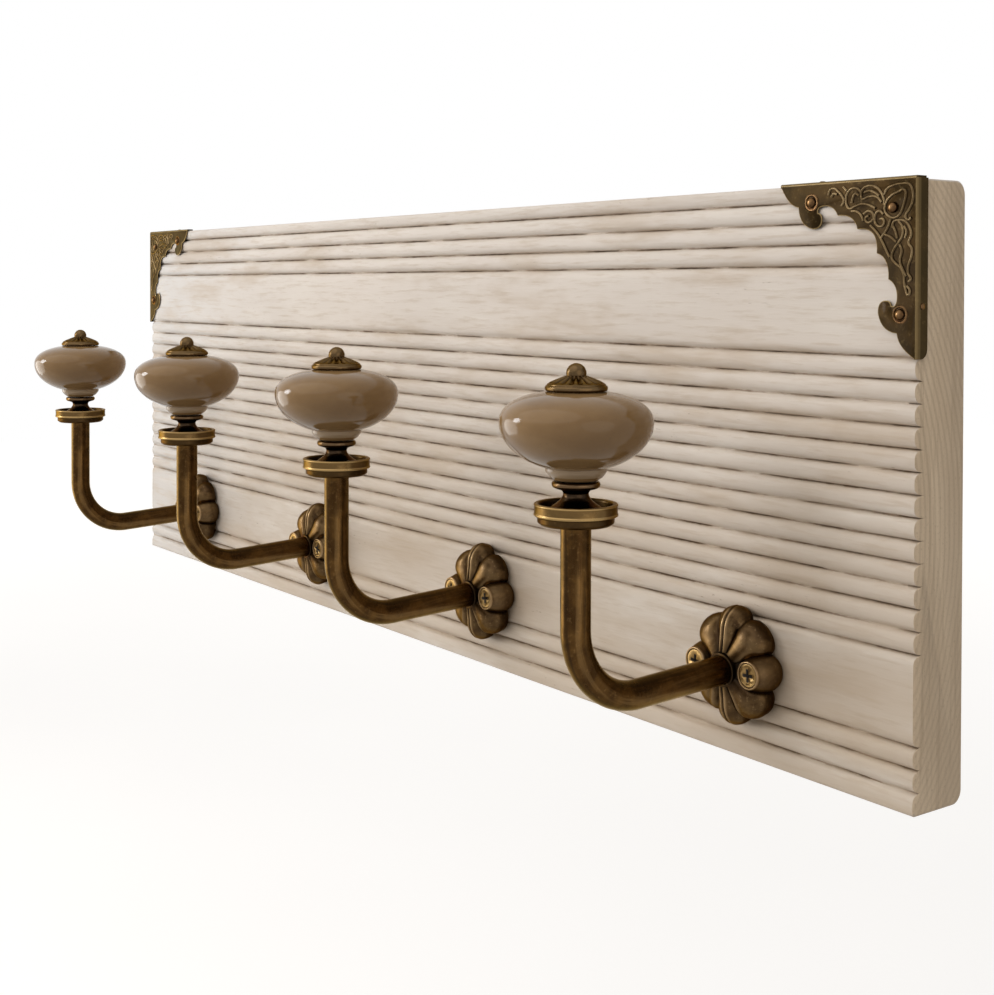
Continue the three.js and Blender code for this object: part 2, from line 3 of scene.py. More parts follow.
import bmesh
import bpy
from mathutils import Matrix, Vector, noise


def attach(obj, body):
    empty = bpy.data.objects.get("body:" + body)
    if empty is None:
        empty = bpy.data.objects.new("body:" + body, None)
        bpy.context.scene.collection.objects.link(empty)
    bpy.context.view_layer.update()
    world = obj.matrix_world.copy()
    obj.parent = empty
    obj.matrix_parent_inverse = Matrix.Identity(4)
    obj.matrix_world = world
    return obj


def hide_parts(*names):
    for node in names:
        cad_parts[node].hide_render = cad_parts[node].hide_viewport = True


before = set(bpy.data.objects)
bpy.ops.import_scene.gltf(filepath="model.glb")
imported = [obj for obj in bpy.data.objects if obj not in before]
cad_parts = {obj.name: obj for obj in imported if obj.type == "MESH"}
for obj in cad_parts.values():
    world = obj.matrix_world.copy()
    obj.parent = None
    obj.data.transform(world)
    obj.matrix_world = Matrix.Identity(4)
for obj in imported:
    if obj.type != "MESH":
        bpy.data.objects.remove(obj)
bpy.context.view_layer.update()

# Camera. It stands to the right of the rack, a little above the knobs, and looks
# level along the board towards its left end. Places are in metres.
eye = Vector((0.59566, -0.39904, 0.06529))
turn_left, tip_down, lean = math.radians(54.12), math.radians(0.85), math.radians(0.14)
ahead = Vector((
    -math.sin(turn_left) * math.cos(tip_down),
    math.cos(turn_left) * math.cos(tip_down),
    -math.sin(tip_down),
))
level = Vector((math.cos(turn_left), math.sin(turn_left), 0))
above = level.cross(ahead)
right = level * math.cos(lean) + above * math.sin(lean)
up = above * math.cos(lean) - level * math.sin(lean)


def set_out(name, data):
    """A new object in the scene, made from this mesh, curve, lamp or camera."""
    item = bpy.data.objects.new(name, data)
    bpy.context.scene.collection.objects.link(item)
    return item


camera = set_out("camera", bpy.data.cameras.new("camera"))
camera.matrix_world = Matrix((
    (right.x, up.x, -ahead.x, eye.x),
    (right.y, up.y, -ahead.y, eye.y),
    (right.z, up.z, -ahead.z, eye.z),
    (0, 0, 0, 1),
))
camera.data.sensor_width = 36
camera.data.lens = 53.44
camera.data.shift_y = -0.188
camera.data.clip_start = 0.01
bpy.context.scene.camera = camera


# Board: one plank of softwood. Its face is planed into rounded reeds with two flat bands
# between them, painted cream, rubbed back, and stained where the paint is thin. It hangs
# on two keyholes cut into its back. Sizes are in millimetres.
board_length, board_height, board_thick = 600, 200, 24
reed_width, reed_depth, first_reed = 7.17, 3.8, 5.6
reed_groups, reed_fullness = (3, 13, 2), 0.76
edge_ease, front_round, back_round = 0.5, 1, 4
thin_fill, fill_swell, full_groove = 0.85, 1.5, 2.9
bare_stretch, full_stretch, full_fade = 4, 25, 15
face_wear, tear_depth, tear_from = 0.12, 0.9, 0.32
reed_nose, reed_back, saw_kerf = 1.4, 0.4, 0.1
groove_reach, column_step = 1.2, 4
keyhole_x, keyhole_z = 200, 55
keyhole_radius, keyhole_neck, keyhole_run = 5, 2.6, 11
keyhole_lip, keyhole_depth = 3.2, 9.5
broad_patches, fine_grain, small_nicks = (14, 30, 60), (45, 300, 520), (260, 900, 1500)
saw_marks, ring_stretch, ring_centre = (1, 620, 24), (4, 130, 130), (0, 17.4, 1.2)

PAINT = (0.645, 0.585, 0.53)
PAINT_SHADED_LOW = (0.52, 0.435, 0.345)
PAINT_PALE = (0.69, 0.64, 0.58)
PAINT_WARM = (0.44, 0.34, 0.24)
PAINT_COOL_LIT = (0.545, 0.55, 0.56)
STAIN = (0.16, 0.10, 0.052)
END_GRAIN = (0.62, 0.50, 0.365)
END_PALE = (0.68, 0.56, 0.42)
END_RING = (0.38, 0.29, 0.20)


def solid_piece(name, vertices, faces, sharp=35, rub_and_shade=None, weld=False):
    """A mesh from points in millimetres, with a value for each point: above 0 it is rubbed
    bright, below 0 it is darkened with patina in hollows and painted shade where a part lies
    in shadow. Welded, points that lie on one another become one."""
    mesh = bpy.data.meshes.new(name)
    mesh.from_pydata([Vector(v) / 1000 for v in vertices], [], faces)
    if rub_and_shade:
        layer = mesh.attributes.new("rub_and_shade", "FLOAT", "POINT")
        layer.data.foreach_set("value", [float(r) for r in rub_and_shade])
    work = bmesh.new()
    work.from_mesh(mesh)
    if weld:
        bmesh.ops.remove_doubles(work, verts=work.verts, dist=1e-6)
    bmesh.ops.recalc_face_normals(work, faces=work.faces)
    work.to_mesh(mesh)
    work.free()
    mesh.shade_smooth()
    mesh.set_sharp_from_angle(angle=math.radians(sharp))
    return set_out(name, mesh)


def skin(rings, count, ends=True, swept_round=False):
    """Faces that join each ring of count points to the next, and close the two ends. Swept
    round, each ring is an open line, and the last one joins the first."""
    faces = []
    for k in range(rings if swept_round else rings - 1):
        a, b = k * count, (k + 1) % rings * count
        for i in range(count - 1 if swept_round else count):
            j = (i + 1) % count
            faces.append((a + i, b + i, b + j, a + j))
    if ends:
        faces += [tuple(range(count)), tuple(range((rings - 1) * count, rings * count))]
    return faces


def dial(node, settings):
    """Sets the node's inputs to these values."""
    for name, value in settings.items():
        node.inputs[name].default_value = value


def new_material(name, roughness, metallic=0.0):
    material = bpy.data.materials.new(name)
    material.use_nodes = True
    shader = material.node_tree.nodes["Principled BSDF"]
    dial(shader, {"Roughness": roughness, "Metallic": metallic})
    return material, material.node_tree, shader


def place(tree, scale, turn=(0, 0, 0), shift=(0, 0, 0), point=None):
    """The point being painted, in metres on the object, stretched by scale."""
    mapping = tree.nodes.new("ShaderNodeMapping")
    dial(mapping, {"Location": shift, "Rotation": turn, "Scale": scale})
    if point is None:
        point = tree.nodes.new("ShaderNodeTexCoord").outputs["Object"]
    tree.links.new(point, mapping.inputs["Vector"])
    return mapping.outputs["Vector"]


def axes(tree):
    """How far along, out and up the point being painted lies on the object, in metres."""
    split = tree.nodes.new("ShaderNodeSeparateXYZ")
    tree.links.new(place(tree, (1, 1, 1)), split.inputs["Vector"])
    return split.outputs


def mottle(tree, stretch, detail, rough=0.55, distortion=0.0, turn=(0, 0, 0), point=None):
    """Soft patches, the finer each way the more that way is stretched."""
    node = tree.nodes.new("ShaderNodeTexNoise")
    dial(node, {"Scale": 1.0, "Detail": detail, "Roughness": rough, "Distortion": distortion})
    tree.links.new(place(tree, stretch, turn, point=point), node.inputs["Vector"])
    return node.outputs["Fac"]


def between(tree, value, low, high, to_low=0.0, to_high=1.0):
    """value spread from low..high to to_low..to_high, with a soft start and end."""
    node = tree.nodes.new("ShaderNodeMapRange")
    node.interpolation_type = "SMOOTHSTEP"
    dial(node, {"From Min": low, "From Max": high, "To Min": to_low, "To Max": to_high})
    tree.links.new(value, node.inputs["Value"])
    return node.outputs["Result"]


def combined(tree, operation, first, second):
    """The product or the greater of two values, kept between 0 and 1."""
    node = tree.nodes.new("ShaderNodeMath")
    node.operation = operation
    node.use_clamp = True
    for socket, value in zip(node.inputs, (first, second)):
        if isinstance(value, (int, float)):
            socket.default_value = value
        else:
            tree.links.new(value, socket)
    return node.outputs["Value"]


def blend_colour(tree, share, first, second):
    """first where share is 0, second where it is 1; each is a colour or another blend."""
    node = tree.nodes.new("ShaderNodeMix")
    node.data_type = "RGBA"
    tree.links.new(share, node.inputs[0])
    for socket, colour in ((node.inputs[6], first), (node.inputs[7], second)):
        if isinstance(colour, tuple):
            socket.default_value = (*colour, 1)
        else:
            tree.links.new(colour, socket)
    return node.outputs[2]


def coat(tree, colour, paint, pattern, low, high, most=1.0):
    """paint laid over colour, from none where the pattern is low to most where it is high."""
    return blend_colour(tree, between(tree, pattern, low, high, 0, most), colour, paint)


def marked(tree, name, kind="Fac"):
    """What the mesh carries at each of its points under this name."""
    node = tree.nodes.new("ShaderNodeAttribute")
    node.attribute_name = name
    return node.outputs[kind]


def emboss(tree, shader, height, strength, distance):
    bump = tree.nodes.new("ShaderNodeBump")
    dial(bump, {"Strength": strength, "Distance": distance})
    tree.links.new(height, bump.inputs["Height"])
    tree.links.new(bump.outputs["Normal"], shader.inputs["Normal"])


def painted_wood(name, stained):
    """Rubbed paint over grain that runs along the board, darker towards the bottom as painted
    shade and cooler towards the left end as painted light. On the stained face, brown lines
    come and go along the bottoms of its reeds, with a warm wash of painted shade beside them."""
    material, tree, shader = new_material(name, 0.62)
    where = axes(tree)
    # Painted shade: the paint darkens towards the bottom of the board, as under light from above.
    colour = coat(tree, PAINT_SHADED_LOW, PAINT, where["Z"], -0.1, 0.1)
    # Painted light: the paint turns cooler towards the left end, as under the window's daylight.
    colour = coat(tree, colour, PAINT_COOL_LIT, where["X"], -0.08, -0.32, 0.62)
    broad = mottle(tree, broad_patches, detail=4)
    colour = coat(tree, colour, PAINT_PALE, broad, 0.5, 0.75, 0.6)
    colour = coat(tree, colour, PAINT_WARM, broad, 0.5, 0.3, 0.55)
    grain = mottle(tree, fine_grain, detail=5, rough=0.65)
    colour = coat(tree, colour, PAINT_WARM, grain, 0.48, 0.68, 0.4)
    nicks = mottle(tree, small_nicks, detail=2, rough=0.5)
    worn = mottle(tree, broad_patches, detail=2, turn=(0, 0.2, 0))
    nick = combined(
        tree, "MULTIPLY", between(tree, nicks, 0.68, 0.78), between(tree, worn, 0.52, 0.7, 0, 0.6),
    )
    colour = blend_colour(tree, nick, colour, STAIN)
    if stained:
        come_and_go = mottle(tree, (34, 1, 110), detail=4, rough=0.65)
        uneven = mottle(tree, (180, 1, 700), detail=4, rough=0.65)
        ragged = tree.nodes.new("ShaderNodeMath")
        ragged.operation = "MULTIPLY_ADD"
        tree.links.new(uneven, ragged.inputs[0])
        ragged.inputs[1].default_value = 0.8
        tree.links.new(marked(tree, "groove"), ragged.inputs[2])
        depth = ragged.outputs["Value"]
        # Painted shade: a warm wash darkens the paint beside each groove. The brown lines below it
        # are stain in the groove bottoms.
        colour = coat(tree, colour, PAINT_WARM, depth, 0.75, 1.35, 0.5)
        line = combined(
            tree, "MULTIPLY", between(tree, depth, 1.05, 1.34),
            between(tree, come_and_go, 0.4, 0.6, 0.05, 0.85),
        )
        colour = blend_colour(tree, line, colour, STAIN)
    tree.links.new(colour, shader.inputs["Base Color"])
    emboss(tree, shader, grain, 0.4, 0.0003)
    return material


def end_grain():
    """The sawn end: growth rings that cross it on a slant, under a thin wash of paint."""
    material, tree, shader = new_material("end_grain", 0.75)
    rings = tree.nodes.new("ShaderNodeTexWave")
    rings.wave_type = "RINGS"
    rings.rings_direction = "X"
    dial(rings, {"Scale": 1.0, "Distortion": 2.4, "Detail": 2.0, "Detail Scale": 0.35})
    tree.links.new(place(tree, ring_stretch, shift=ring_centre), rings.inputs["Vector"])
    where = axes(tree)
    pores = mottle(tree, (300, 1500, 900), detail=3)
    patches = mottle(tree, (20, 60, 25), detail=3)
    colour = coat(tree, END_GRAIN, END_PALE, patches, 0.3, 0.7)
    ring = combined(
        tree, "MULTIPLY", between(tree, rings.outputs["Fac"], 0.35, 1.0),
        between(tree, where["Z"], -0.06, 0.05, 0.24, 0.38),
    )
    colour = blend_colour(tree, ring, colour, END_RING)
    streaks = mottle(tree, saw_marks, detail=3, distortion=0.4, turn=(0.1, 0, 0))
    colour = coat(tree, colour, END_RING, streaks, 0.46, 0.68, 0.4)
    # The end grows darker towards its back edge.
    colour = coat(tree, colour, END_RING, where["Y"], -0.017, -0.003, 0.22)
    colour = coat(tree, colour, END_RING, pores, 0.56, 0.72, 0.5)
    tree.links.new(colour, shader.inputs["Base Color"])
    emboss(tree, shader, pores, 0.4, 0.0003)
    return material


def reeded_face():
    """(distance from the wall, height) down the front: reeds, flat, reeds, flat, reeds."""
    half = reed_width / 2
    valley = board_thick - reed_depth
    reeds = sum(reed_groups)
    flat = (board_height - first_reed - (reeds + 1) * reed_width) / 2
    steps = [math.pi / 2 * i / 7 for i in range(8)]
    rise = [(math.sin(a) ** reed_fullness, math.cos(a) ** reed_fullness) for a in steps]
    points = []

    def curve(centre, sign):
        order = rise if sign > 0 else rise[::-1]
        for out, away in order:
            points.append((valley + reed_depth * out, centre + sign * half * away))

    height = board_height / 2 - first_reed
    curve(height + half, -1)
    for number, group in enumerate(reed_groups):
        for _ in range(group):
            curve(height - half, 1)
            curve(height - half, -1)
            height -= reed_width
        curve(height - half, 1)
        if number < len(reed_groups) - 1:
            height -= flat
            for share in (0.25, 0.5, 0.75):
                points.append((board_thick, height + flat - half - share * (flat - reed_width)))
            curve(height + half, -1)
    return points


def board_section():
    """The board's outline seen from its end, and where in it the face starts and ends."""
    half = board_height / 2
    quarter = [math.pi / 2 * i / 6 for i in range(7)]
    front = reeded_face()
    top = [(back_round - back_round * math.cos(a), half - back_round + back_round * math.sin(a))
           for a in quarter]
    top += [(board_thick - front_round + front_round * math.sin(a),
             half - front_round + front_round * math.cos(a)) for a in quarter]
    bottom = [(y, -z) for y, z in reversed(top)]
    points = top + front + bottom
    kept = [points[0]]
    for point in points[1:]:
        if math.dist(point, kept[-1]) > 1e-4:
            kept.append(point)
    return kept, len(top), len(kept) - len(bottom)


def groove_fill(x, z):
    """How high paint stands in the grooves: it comes and goes along the board, none is left
    at the right end, and the left end is nearly full."""
    pooled = noise.noise(Vector((x / 17, z / 8, 5))) + 0.3 * noise.noise(Vector((x / 7, z / 8, 7)))
    filled = thin_fill + fill_swell * min(1, max(0, 1.8 * pooled + 0.35))
    filled *= min(1, (board_length / 2 - x) / bare_stretch)
    near_left = min(1, max(0, (-board_length / 2 + full_stretch - x) / full_fade))
    return max(filled, full_groove * near_left)


def surface_wear(x, z):
    """How far the face is rubbed back: a slow waver, and a few torn places."""
    waver = noise.noise(Vector((x / 34, z / 2.6, 3)))
    torn = max(0, noise.noise(Vector((x / 12, z / 1.7, 9))) - tear_from)
    return face_wear + face_wear * waver + tear_depth * torn


def worn_reed_end(y, at_end):
    """Rounds the sawn ends of the reeds; gives where a point of the face lies there."""
    out = (y - board_thick + reed_depth) / reed_depth
    x = board_length / 2 - (0 if at_end else saw_kerf + reed_back * out ** 2)
    return x, y - (reed_nose * out ** 2 if at_end else 0) - (1 - out) ** 2


def back_board():
    section, first, last = board_section()
    stations = [-board_length / 2, -board_length / 2 + edge_ease]
    columns = range(1, board_length // column_step)
    stations += [-board_length / 2 + column_step * i for i in columns]
    stations += [board_length / 2 - edge_ease, board_length / 2]
    vertices, finish, grooves = [], [], []
    valleys = [z for y, z in section[first:last] if y < board_thick - reed_depth + 1e-6]
    for column, station in enumerate(stations):
        at_end = column in (0, len(stations) - 1)
        for i, (y, z) in enumerate(section):
            x = station
            inset = edge_ease if at_end else 0
            if first < i < last and column > len(stations) - 3:
                x, y = worn_reed_end(y, at_end)
                inset = 0
            elif first < i < last:
                y = max(y, board_thick - reed_depth + groove_fill(x, z))
                inset += surface_wear(x, z)
            y_in = y + (inset if y < board_thick / 2 else -inset)
            z_in = z * (1 - (edge_ease / (board_height / 2) if at_end else 0))
            vertices.append((x, -y_in, z_in))
            grooves.append(max(0, 1 - min(abs(z - v) for v in valleys) / groove_reach))
    face, edge, sawn = 0, 1, 2
    for column in range(len(stations) - 1):
        reed_end = column == len(stations) - 2
        for i in range(len(section)):
            on_face = first - 1 <= i < last
            finish.append(edge if not on_face else sawn if reed_end else face)
    finish += [sawn, sawn]
    board = solid_piece("board", vertices, skin(len(stations), len(section)), sharp=42)
    board.data.materials.append(painted_wood("painted_face", True))
    board.data.materials.append(painted_wood("painted_edge", False))
    board.data.materials.append(end_grain())
    board.data.polygons.foreach_set("material_index", finish)
    layer = board.data.attributes.new("groove", "FLOAT", "POINT")
    layer.data.foreach_set("value", grooves)
    return board


def slot_cutter(name, radius, near, far, run):
    """A round hole, or with a run a slot with round ends, cut into the board's back."""
    sides = 32
    outline = []
    for i in range(sides):
        angle = 2 * math.pi * i / sides
        rise = run if math.sin(angle) > 0 else 0
        outline.append((radius * math.cos(angle), radius * math.sin(angle) + rise))
    vertices = [(x, near, z) for x, z in outline] + [(x, far, z) for x, z in outline]
    return solid_piece(name, vertices, skin(2, sides))


def cut_out(piece, cutters):
    """Cuts the cutters out of the piece and clears them away."""
    for cutter in cutters:
        cut = piece.modifiers.new("cut", "BOOLEAN")
        cut.object = cutter
        cut.operation = "DIFFERENCE"
        cut.solver = "EXACT"
    bpy.context.view_layer.update()
    shown = piece.evaluated_get(bpy.context.evaluated_depsgraph_get())
    piece.data = bpy.data.meshes.new_from_object(shown)
    piece.modifiers.clear()
    for cutter in cutters:
        bpy.data.objects.remove(cutter)


board = back_board()
keyholes = []
for side in (-1, 1):
    for name, radius, near, far, run in (
        ("entry", keyhole_radius, 1, -keyhole_depth, 0),
        ("neck", keyhole_neck, 1, -keyhole_depth, keyhole_run),
        ("channel", keyhole_radius, -keyhole_lip, -keyhole_depth, keyhole_run),
    ):
        cutter = slot_cutter(name, radius, near, far, run)
        cutter.location = (side * keyhole_x / 1000, 0, keyhole_z / 1000)
        keyholes.append(cutter)
cut_out(board, keyholes)
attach(board, "root")
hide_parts("back_board")


# Corner brackets: stamped brass sheet, browned with age, that covers the front corner
# and folds over the top and the end. The scrolls and leaves are raised by the stamp.
leg = 56.5
sheet, sheet_gap, flange = 0.6, 0.3, 5
fold_round, flange_corner, tuck = 0.7, 3.2, 0.4
fold_in, bright_to, dull_from = 0.02, 1.4, 1.7
rim_wide, rim_deep = 0.35, 0.2
line_width, line_sunk = 0.95, 0.05
scroll_edge = (
    ((53.0, 6.8), (48.6, 7.2)), ((48.2, 13.5), (42.2, 14.7)), ((38.3, 14.8), (38.2, 11.6)),
    ((38.2, 9.6), (40.0, 9.4)), ((40.4, 7.2), (37.0, 7.2)), ((33.0, 7.2), (31.5, 10.6)),
    ((24.4, 10.2), (23.2, 15.3)),
)
notch = 14.5
nail_along, nail_in, corner_nail = 42.6, 5.8, 8.8
plate_front = board_thick + sheet_gap + sheet

BROWNED = (0.013, 0.007, 0.002)
BRASS_DULL = (0.024, 0.013, 0.004)
BRASS_RUBBED = (0.34, 0.24, 0.11)
BRASS_BLACK = (0.010, 0.006, 0.003)
DRAWN_BLACK = (0.016, 0.008, 0.003)


def aged_brass(
    name, dark, dull, rubbed, roughness, spots=1.0, worn=0.35, edge=(0.62, 0.48, 0.33), drawn=False,
):
    """Brass browned in patches, rubbed bright where hands and cloths reach it (values above 0),
    and darkened below 0: black patina in its hollows, and painted shade where a part lies in
    shadow. Drawn brass has streaks along its length."""
    material, tree, shader = new_material(name, roughness, metallic=1.0)
    patches = mottle(tree, (90 * spots,) * 3, detail=5, rough=0.6, distortion=0.4)
    specks = mottle(tree, (620 * spots,) * 3, detail=3, rough=0.7)
    colour = coat(tree, dark, dull, patches, 0.34, 0.68)
    colour = coat(tree, colour, rubbed, specks, 0.56, 0.74, worn)
    if drawn:
        along = marked(tree, "wrapped", "Vector")
        streaks = mottle(tree, (240, 240, 16), detail=4, rough=0.6, distortion=0.3, point=along)
        colour = coat(tree, colour, DRAWN_BLACK, streaks, 0.5, 0.4, 0.6)
        colour = coat(tree, colour, rubbed, streaks, 0.53, 0.66, 0.35)
    rub_and_shade = marked(tree, "rub_and_shade")
    colour = blend_colour(tree, rub_and_shade, colour, rubbed)
    # Below 0 the brass goes black: patina in hollows, and painted shade where a part lies in
    # shadow.
    colour = blend_colour(tree, combined(tree, "MULTIPLY", rub_and_shade, -1.0), colour, BRASS_BLACK)
    tree.links.new(colour, shader.inputs["Base Color"])
    rough = between(tree, patches, 0.3, 0.7, roughness + 0.04, roughness - 0.03)
    tree.links.new(rough, shader.inputs["Roughness"])
    dial(shader, {"Specular Tint": (*edge, 1), "Coat Weight": 0.05, "Coat Roughness": 0.15})
    emboss(tree, shader, specks, 0.25, 0.0002)
    return material


def quadratic(start, bend, end, steps):
    out = []
    for i in range(steps):
        t = i / steps
        out.append(tuple(
            (1 - t) ** 2 * a + 2 * t * (1 - t) * b + t * t * c for a, b, c in zip(start, bend, end)
        ))
    return out


def plate_outline():
    """Inner edge of the plate as (along the top, down from the top), tip to tip."""
    points = []
    start = (leg, 0.0)
    for bend, end in scroll_edge:
        points += quadratic(start, bend, end, 7)
        start = end
    points += quadratic(start, (notch, notch), start[::-1], 12)
    mirrored = [(v, u) for u, v in points[-13::-1]]
    return points + [start[::-1]] + mirrored


def corner_plate(name):
    """The right-hand front plate, measured from the board's top right corner."""
    inner = plate_outline()
    vertices, faces, rub_and_shade = [], [], []
    front, back = -plate_front, -(board_thick + sheet_gap)
    count = len(inner)
    for i, (u, v) in enumerate(inner):
        before, after = Vector(inner[max(i - 1, 0)]), Vector(inner[min(i + 1, count - 1)])
        along = (after - before).normalized()
        tucked = Vector((u, v)) + Vector((-along.y, along.x)) * rim_wide
        tucked = Vector((max(tucked.x, 0), max(tucked.y, 0)))
        vertices += [(-u, back, -v), (-u, front + rim_deep, -v), (-tucked.x, front, -tucked.y)]
        rub_and_shade += [0, 0.9, 0]
    corner = len(vertices)
    vertices += [(0, back, 0), (0, front, 0)]
    rub_and_shade += [0, 0]
    for i in range(count - 1):
        a, b = 3 * i, 3 * (i + 1)
        faces += [(a, b, b + 1, a + 1), (a + 1, b + 1, b + 2, a + 2)]
    faces.append(tuple([corner] + [3 * i for i in range(count)]))
    faces.append(tuple([corner + 1] + [3 * i + 2 for i in range(count)]))
    return solid_piece(name, vertices, faces, rub_and_shade=rub_and_shade)


def flange_strip(name, side):
    """One folded flange with its rounded fold; side 0 lies on top, side 1 on the end."""
    outer = sheet_gap + sheet
    turn = [math.pi / 2 * i / 4 for i in range(5)]
    section = [(plate_front - fold_in, -tuck)]
    section += [(plate_front - fold_round + fold_round * math.cos(a),
                 outer - fold_round + fold_round * math.sin(a)) for a in turn]
    section += [(plate_front - bright_to, outer), (plate_front - dull_from, outer)]
    section += [(plate_front - flange, outer), (plate_front - flange, sheet_gap)]
    section += [(board_thick + sheet_gap, sheet_gap), (board_thick + sheet_gap, -tuck)]
    bright = [0, 0.3, 0.4, 0.3, 0.2, 0.2, 0.2, 0.05, 0.05, 0, 0, 0]
    stations = [-outer + fold_round]
    stations += [leg - flange_corner + flange_corner * math.sin(a) for a in turn]
    drop = [0] + [flange_corner * (1 - math.cos(a)) for a in turn]
    vertices, rub_and_shade = [], []
    for along, shorter in zip(stations, drop):
        for (y, out), shine in zip(section, bright):
            y = max(y, plate_front - flange + shorter)
            u, v = (along, -out) if side == 0 else (-out, along)
            vertices.append((-u, -y, -v))
            rub_and_shade.append(shine)
    faces = skin(len(stations), len(section))
    return solid_piece(name, vertices, faces, sharp=50, rub_and_shade=rub_and_shade)


def raised_lines(name, strokes):
    """Rounded ridges on the plate; a stroke is a list of (u, v) that a smooth line follows,
    and the one round the corner's eye closes on itself."""
    curve = bpy.data.curves.new(name, "CURVE")
    curve.dimensions = "3D"
    curve.bevel_depth = line_width / 2000
    curve.bevel_resolution = 2
    curve.resolution_u = 6
    for stroke in strokes:
        spline = curve.splines.new("BEZIER")
        spline.bezier_points.add(len(stroke) - 1)
        spline.use_cyclic_u = stroke is corner_eye
        for point, (u, v) in zip(spline.bezier_points, stroke):
            point.co = Vector((-u, -plate_front + line_sunk, -v)) / 1000
            point.handle_left_type = point.handle_right_type = "AUTO"
            point.radius = 1
    return set_out(name, curve)


corner_eye = [(4.1, 3.6), (7.1, 4.2), (9.7, 5.3), (11.5, 7.3), (11.9, 9.7), (10.3, 11.5),
    (7.9, 12.1), (5.8, 10.8), (4.5, 7.9), (3.8, 5.4)]
corner_leaf = [
    [(12.2, 4.6), (11.1, 2.9), (8.9, 2.0), (5.0, 1.5), (2.3, 1.9), (1.1, 4.0), (1.2, 7.4),
     (2.5, 9.8), (3.8, 11.8), (2.8, 13.0), (1.6, 12.3)],
    corner_eye,
    [(17.7, 14.2), (15.6, 16.0), (13.4, 18.6), (11.8, 21.3), (9.9, 24.6)],
    [(9.5, 12.4), (10.9, 15.4), (13.4, 18.4)],
    [(12.1, 17.2), (9.6, 18.1), (7.3, 19.8)],
]
top_leaves = [
    [(21.1, 5.9), (21.6, 3.9), (20.5, 2.2), (18.2, 1.5), (15.5, 2.1), (13.3, 4.0), (12.3, 6.2),
     (12.2, 7.8)],
    [(20.7, 5.8), (18.2, 5.0), (15.0, 5.3), (13.2, 7.0)],
    [(20.2, 3.6), (18.2, 3.1), (15.9, 3.8), (14.2, 5.0)],
    [(21.6, 3.2), (23.2, 2.1), (25.5, 2.1), (27.2, 3.4), (27.8, 5.4), (27.4, 7.4), (26.3, 8.5),
     (24.1, 7.9), (20.9, 7.2), (18.2, 7.7), (15.7, 8.8)],
    [(25.4, 6.7), (25.0, 5.2), (23.9, 3.8), (22.3, 4.5)],
    [(35.2, 3.7), (34.7, 2.2), (33.0, 1.6), (31.1, 2.7), (29.3, 4.5), (28.7, 6.0), (29.7, 7.5)],
    [(34.0, 4.4), (33.0, 3.3), (31.5, 3.7)],
    [(29.0, 1.3), (27.5, 2.7)],
    [(25.4, 9.3), (23.1, 9.6), (21.3, 11.1), (20.6, 12.8)],
    [(20.5, 10.5), (18.1, 9.6), (16.4, 11.0), (17.1, 12.8), (19.1, 13.1), (19.7, 11.8),
     (18.3, 11.2)],
    [(12.4, 10.9), (14.3, 9.7), (16.0, 12.2), (14.4, 14.6), (12.3, 14.0), (12.6, 12.3),
     (14.0, 12.4)],
]
side_leaves = [
    [(8.8, 15.3), (8.5, 13.5), (6.6, 12.9), (4.0, 13.3), (2.2, 15.2), (1.6, 17.7), (2.6, 20.1),
     (1.3, 22.0), (1.6, 24.8), (2.6, 27.2), (2.7, 29.7), (1.6, 31.4), (2.5, 32.3)],
    [(6.6, 13.0), (4.9, 15.2), (4.9, 17.6), (6.5, 20.0), (8.4, 22.3), (9.1, 24.6), (7.5, 26.5),
     (5.6, 27.8), (4.4, 30.0), (4.1, 32.6), (3.5, 34.9), (2.6, 36.4), (2.0, 35.0), (3.1, 33.6)],
    [(6.1, 20.5), (5.2, 22.5), (5.9, 25.6), (4.9, 28.1), (3.4, 30.6)],
    [(4.3, 14.8), (3.4, 16.6), (4.0, 18.6)],
    [(8.5, 14.9), (7.6, 16.6), (7.0, 18.7)],
]

plate_brass = aged_brass(
    "plate_brass", BROWNED, BRASS_DULL, BRASS_RUBBED, roughness=0.42, worn=0.08,
    edge=(0.80, 0.72, 0.55),
)
relief_brass = aged_brass(
    "relief_brass", (0.066, 0.043, 0.020), (0.14, 0.098, 0.050), BRASS_RUBBED, roughness=0.3,
)


def mirrored_copy(piece, name):
    """The left-hand twin of a piece that was made for the right."""
    twin = set_out(name, piece.data.copy())
    twin.data.transform(Matrix.Scale(-1, 4, (1, 0, 0)))
    if twin.type == "MESH":
        twin.data.flip_normals()
    return twin


corner = Vector((board_length / 2, 0, board_height / 2)) / 1000
plate = corner_plate("plate_right")
top_strip = flange_strip("top_flange_right", 0)
end_strip = flange_strip("end_flange_right", 1)
relief = raised_lines("relief_right", corner_leaf + top_leaves + side_leaves)
for part in (plate, top_strip, end_strip, relief):
    material = relief_brass if part is relief else plate_brass
    part.data.materials.append(material)
    twin = mirrored_copy(part, part.name.replace("right", "left"))
    part.location = corner
    twin.location = (-corner.x, corner.y, corner.z)
    for piece, name in ((part, "corner_bracket_right"), (twin, "corner_bracket_left")):
        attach(piece, "root")
        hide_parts(name)


# Nails and pins: three small domed brass nails hold each bracket to the face, the outer
# two of them in stamped rings, and flat-headed pins hold its flanges to the edges.
def turned(name, profile, sides, sharp=38, rub_and_shade=None):
    """A piece turned about Z from (radius, height) pairs; rub gives a value for each."""
    vertices, shine = [], []
    for k, (radius, height) in enumerate(profile):
        for i in range(sides):
            angle = 2 * math.pi * i / sides
            vertices.append((radius * math.sin(angle), -radius * math.cos(angle), height))
            shine.append(rub_and_shade[k] if rub_and_shade else 0)
    faces = skin(len(profile), sides, ends=False)
    return solid_piece(name, vertices, faces, sharp, shine, weld=True)


def out_of_wall(piece, x, y, z):
    """Turns a piece that stands on Z to point out of the wall, and sets it in place."""
    piece.rotation_euler = (math.pi / 2, 0, 0)
    piece.location = (x / 1000, y / 1000, z / 1000)
    return piece


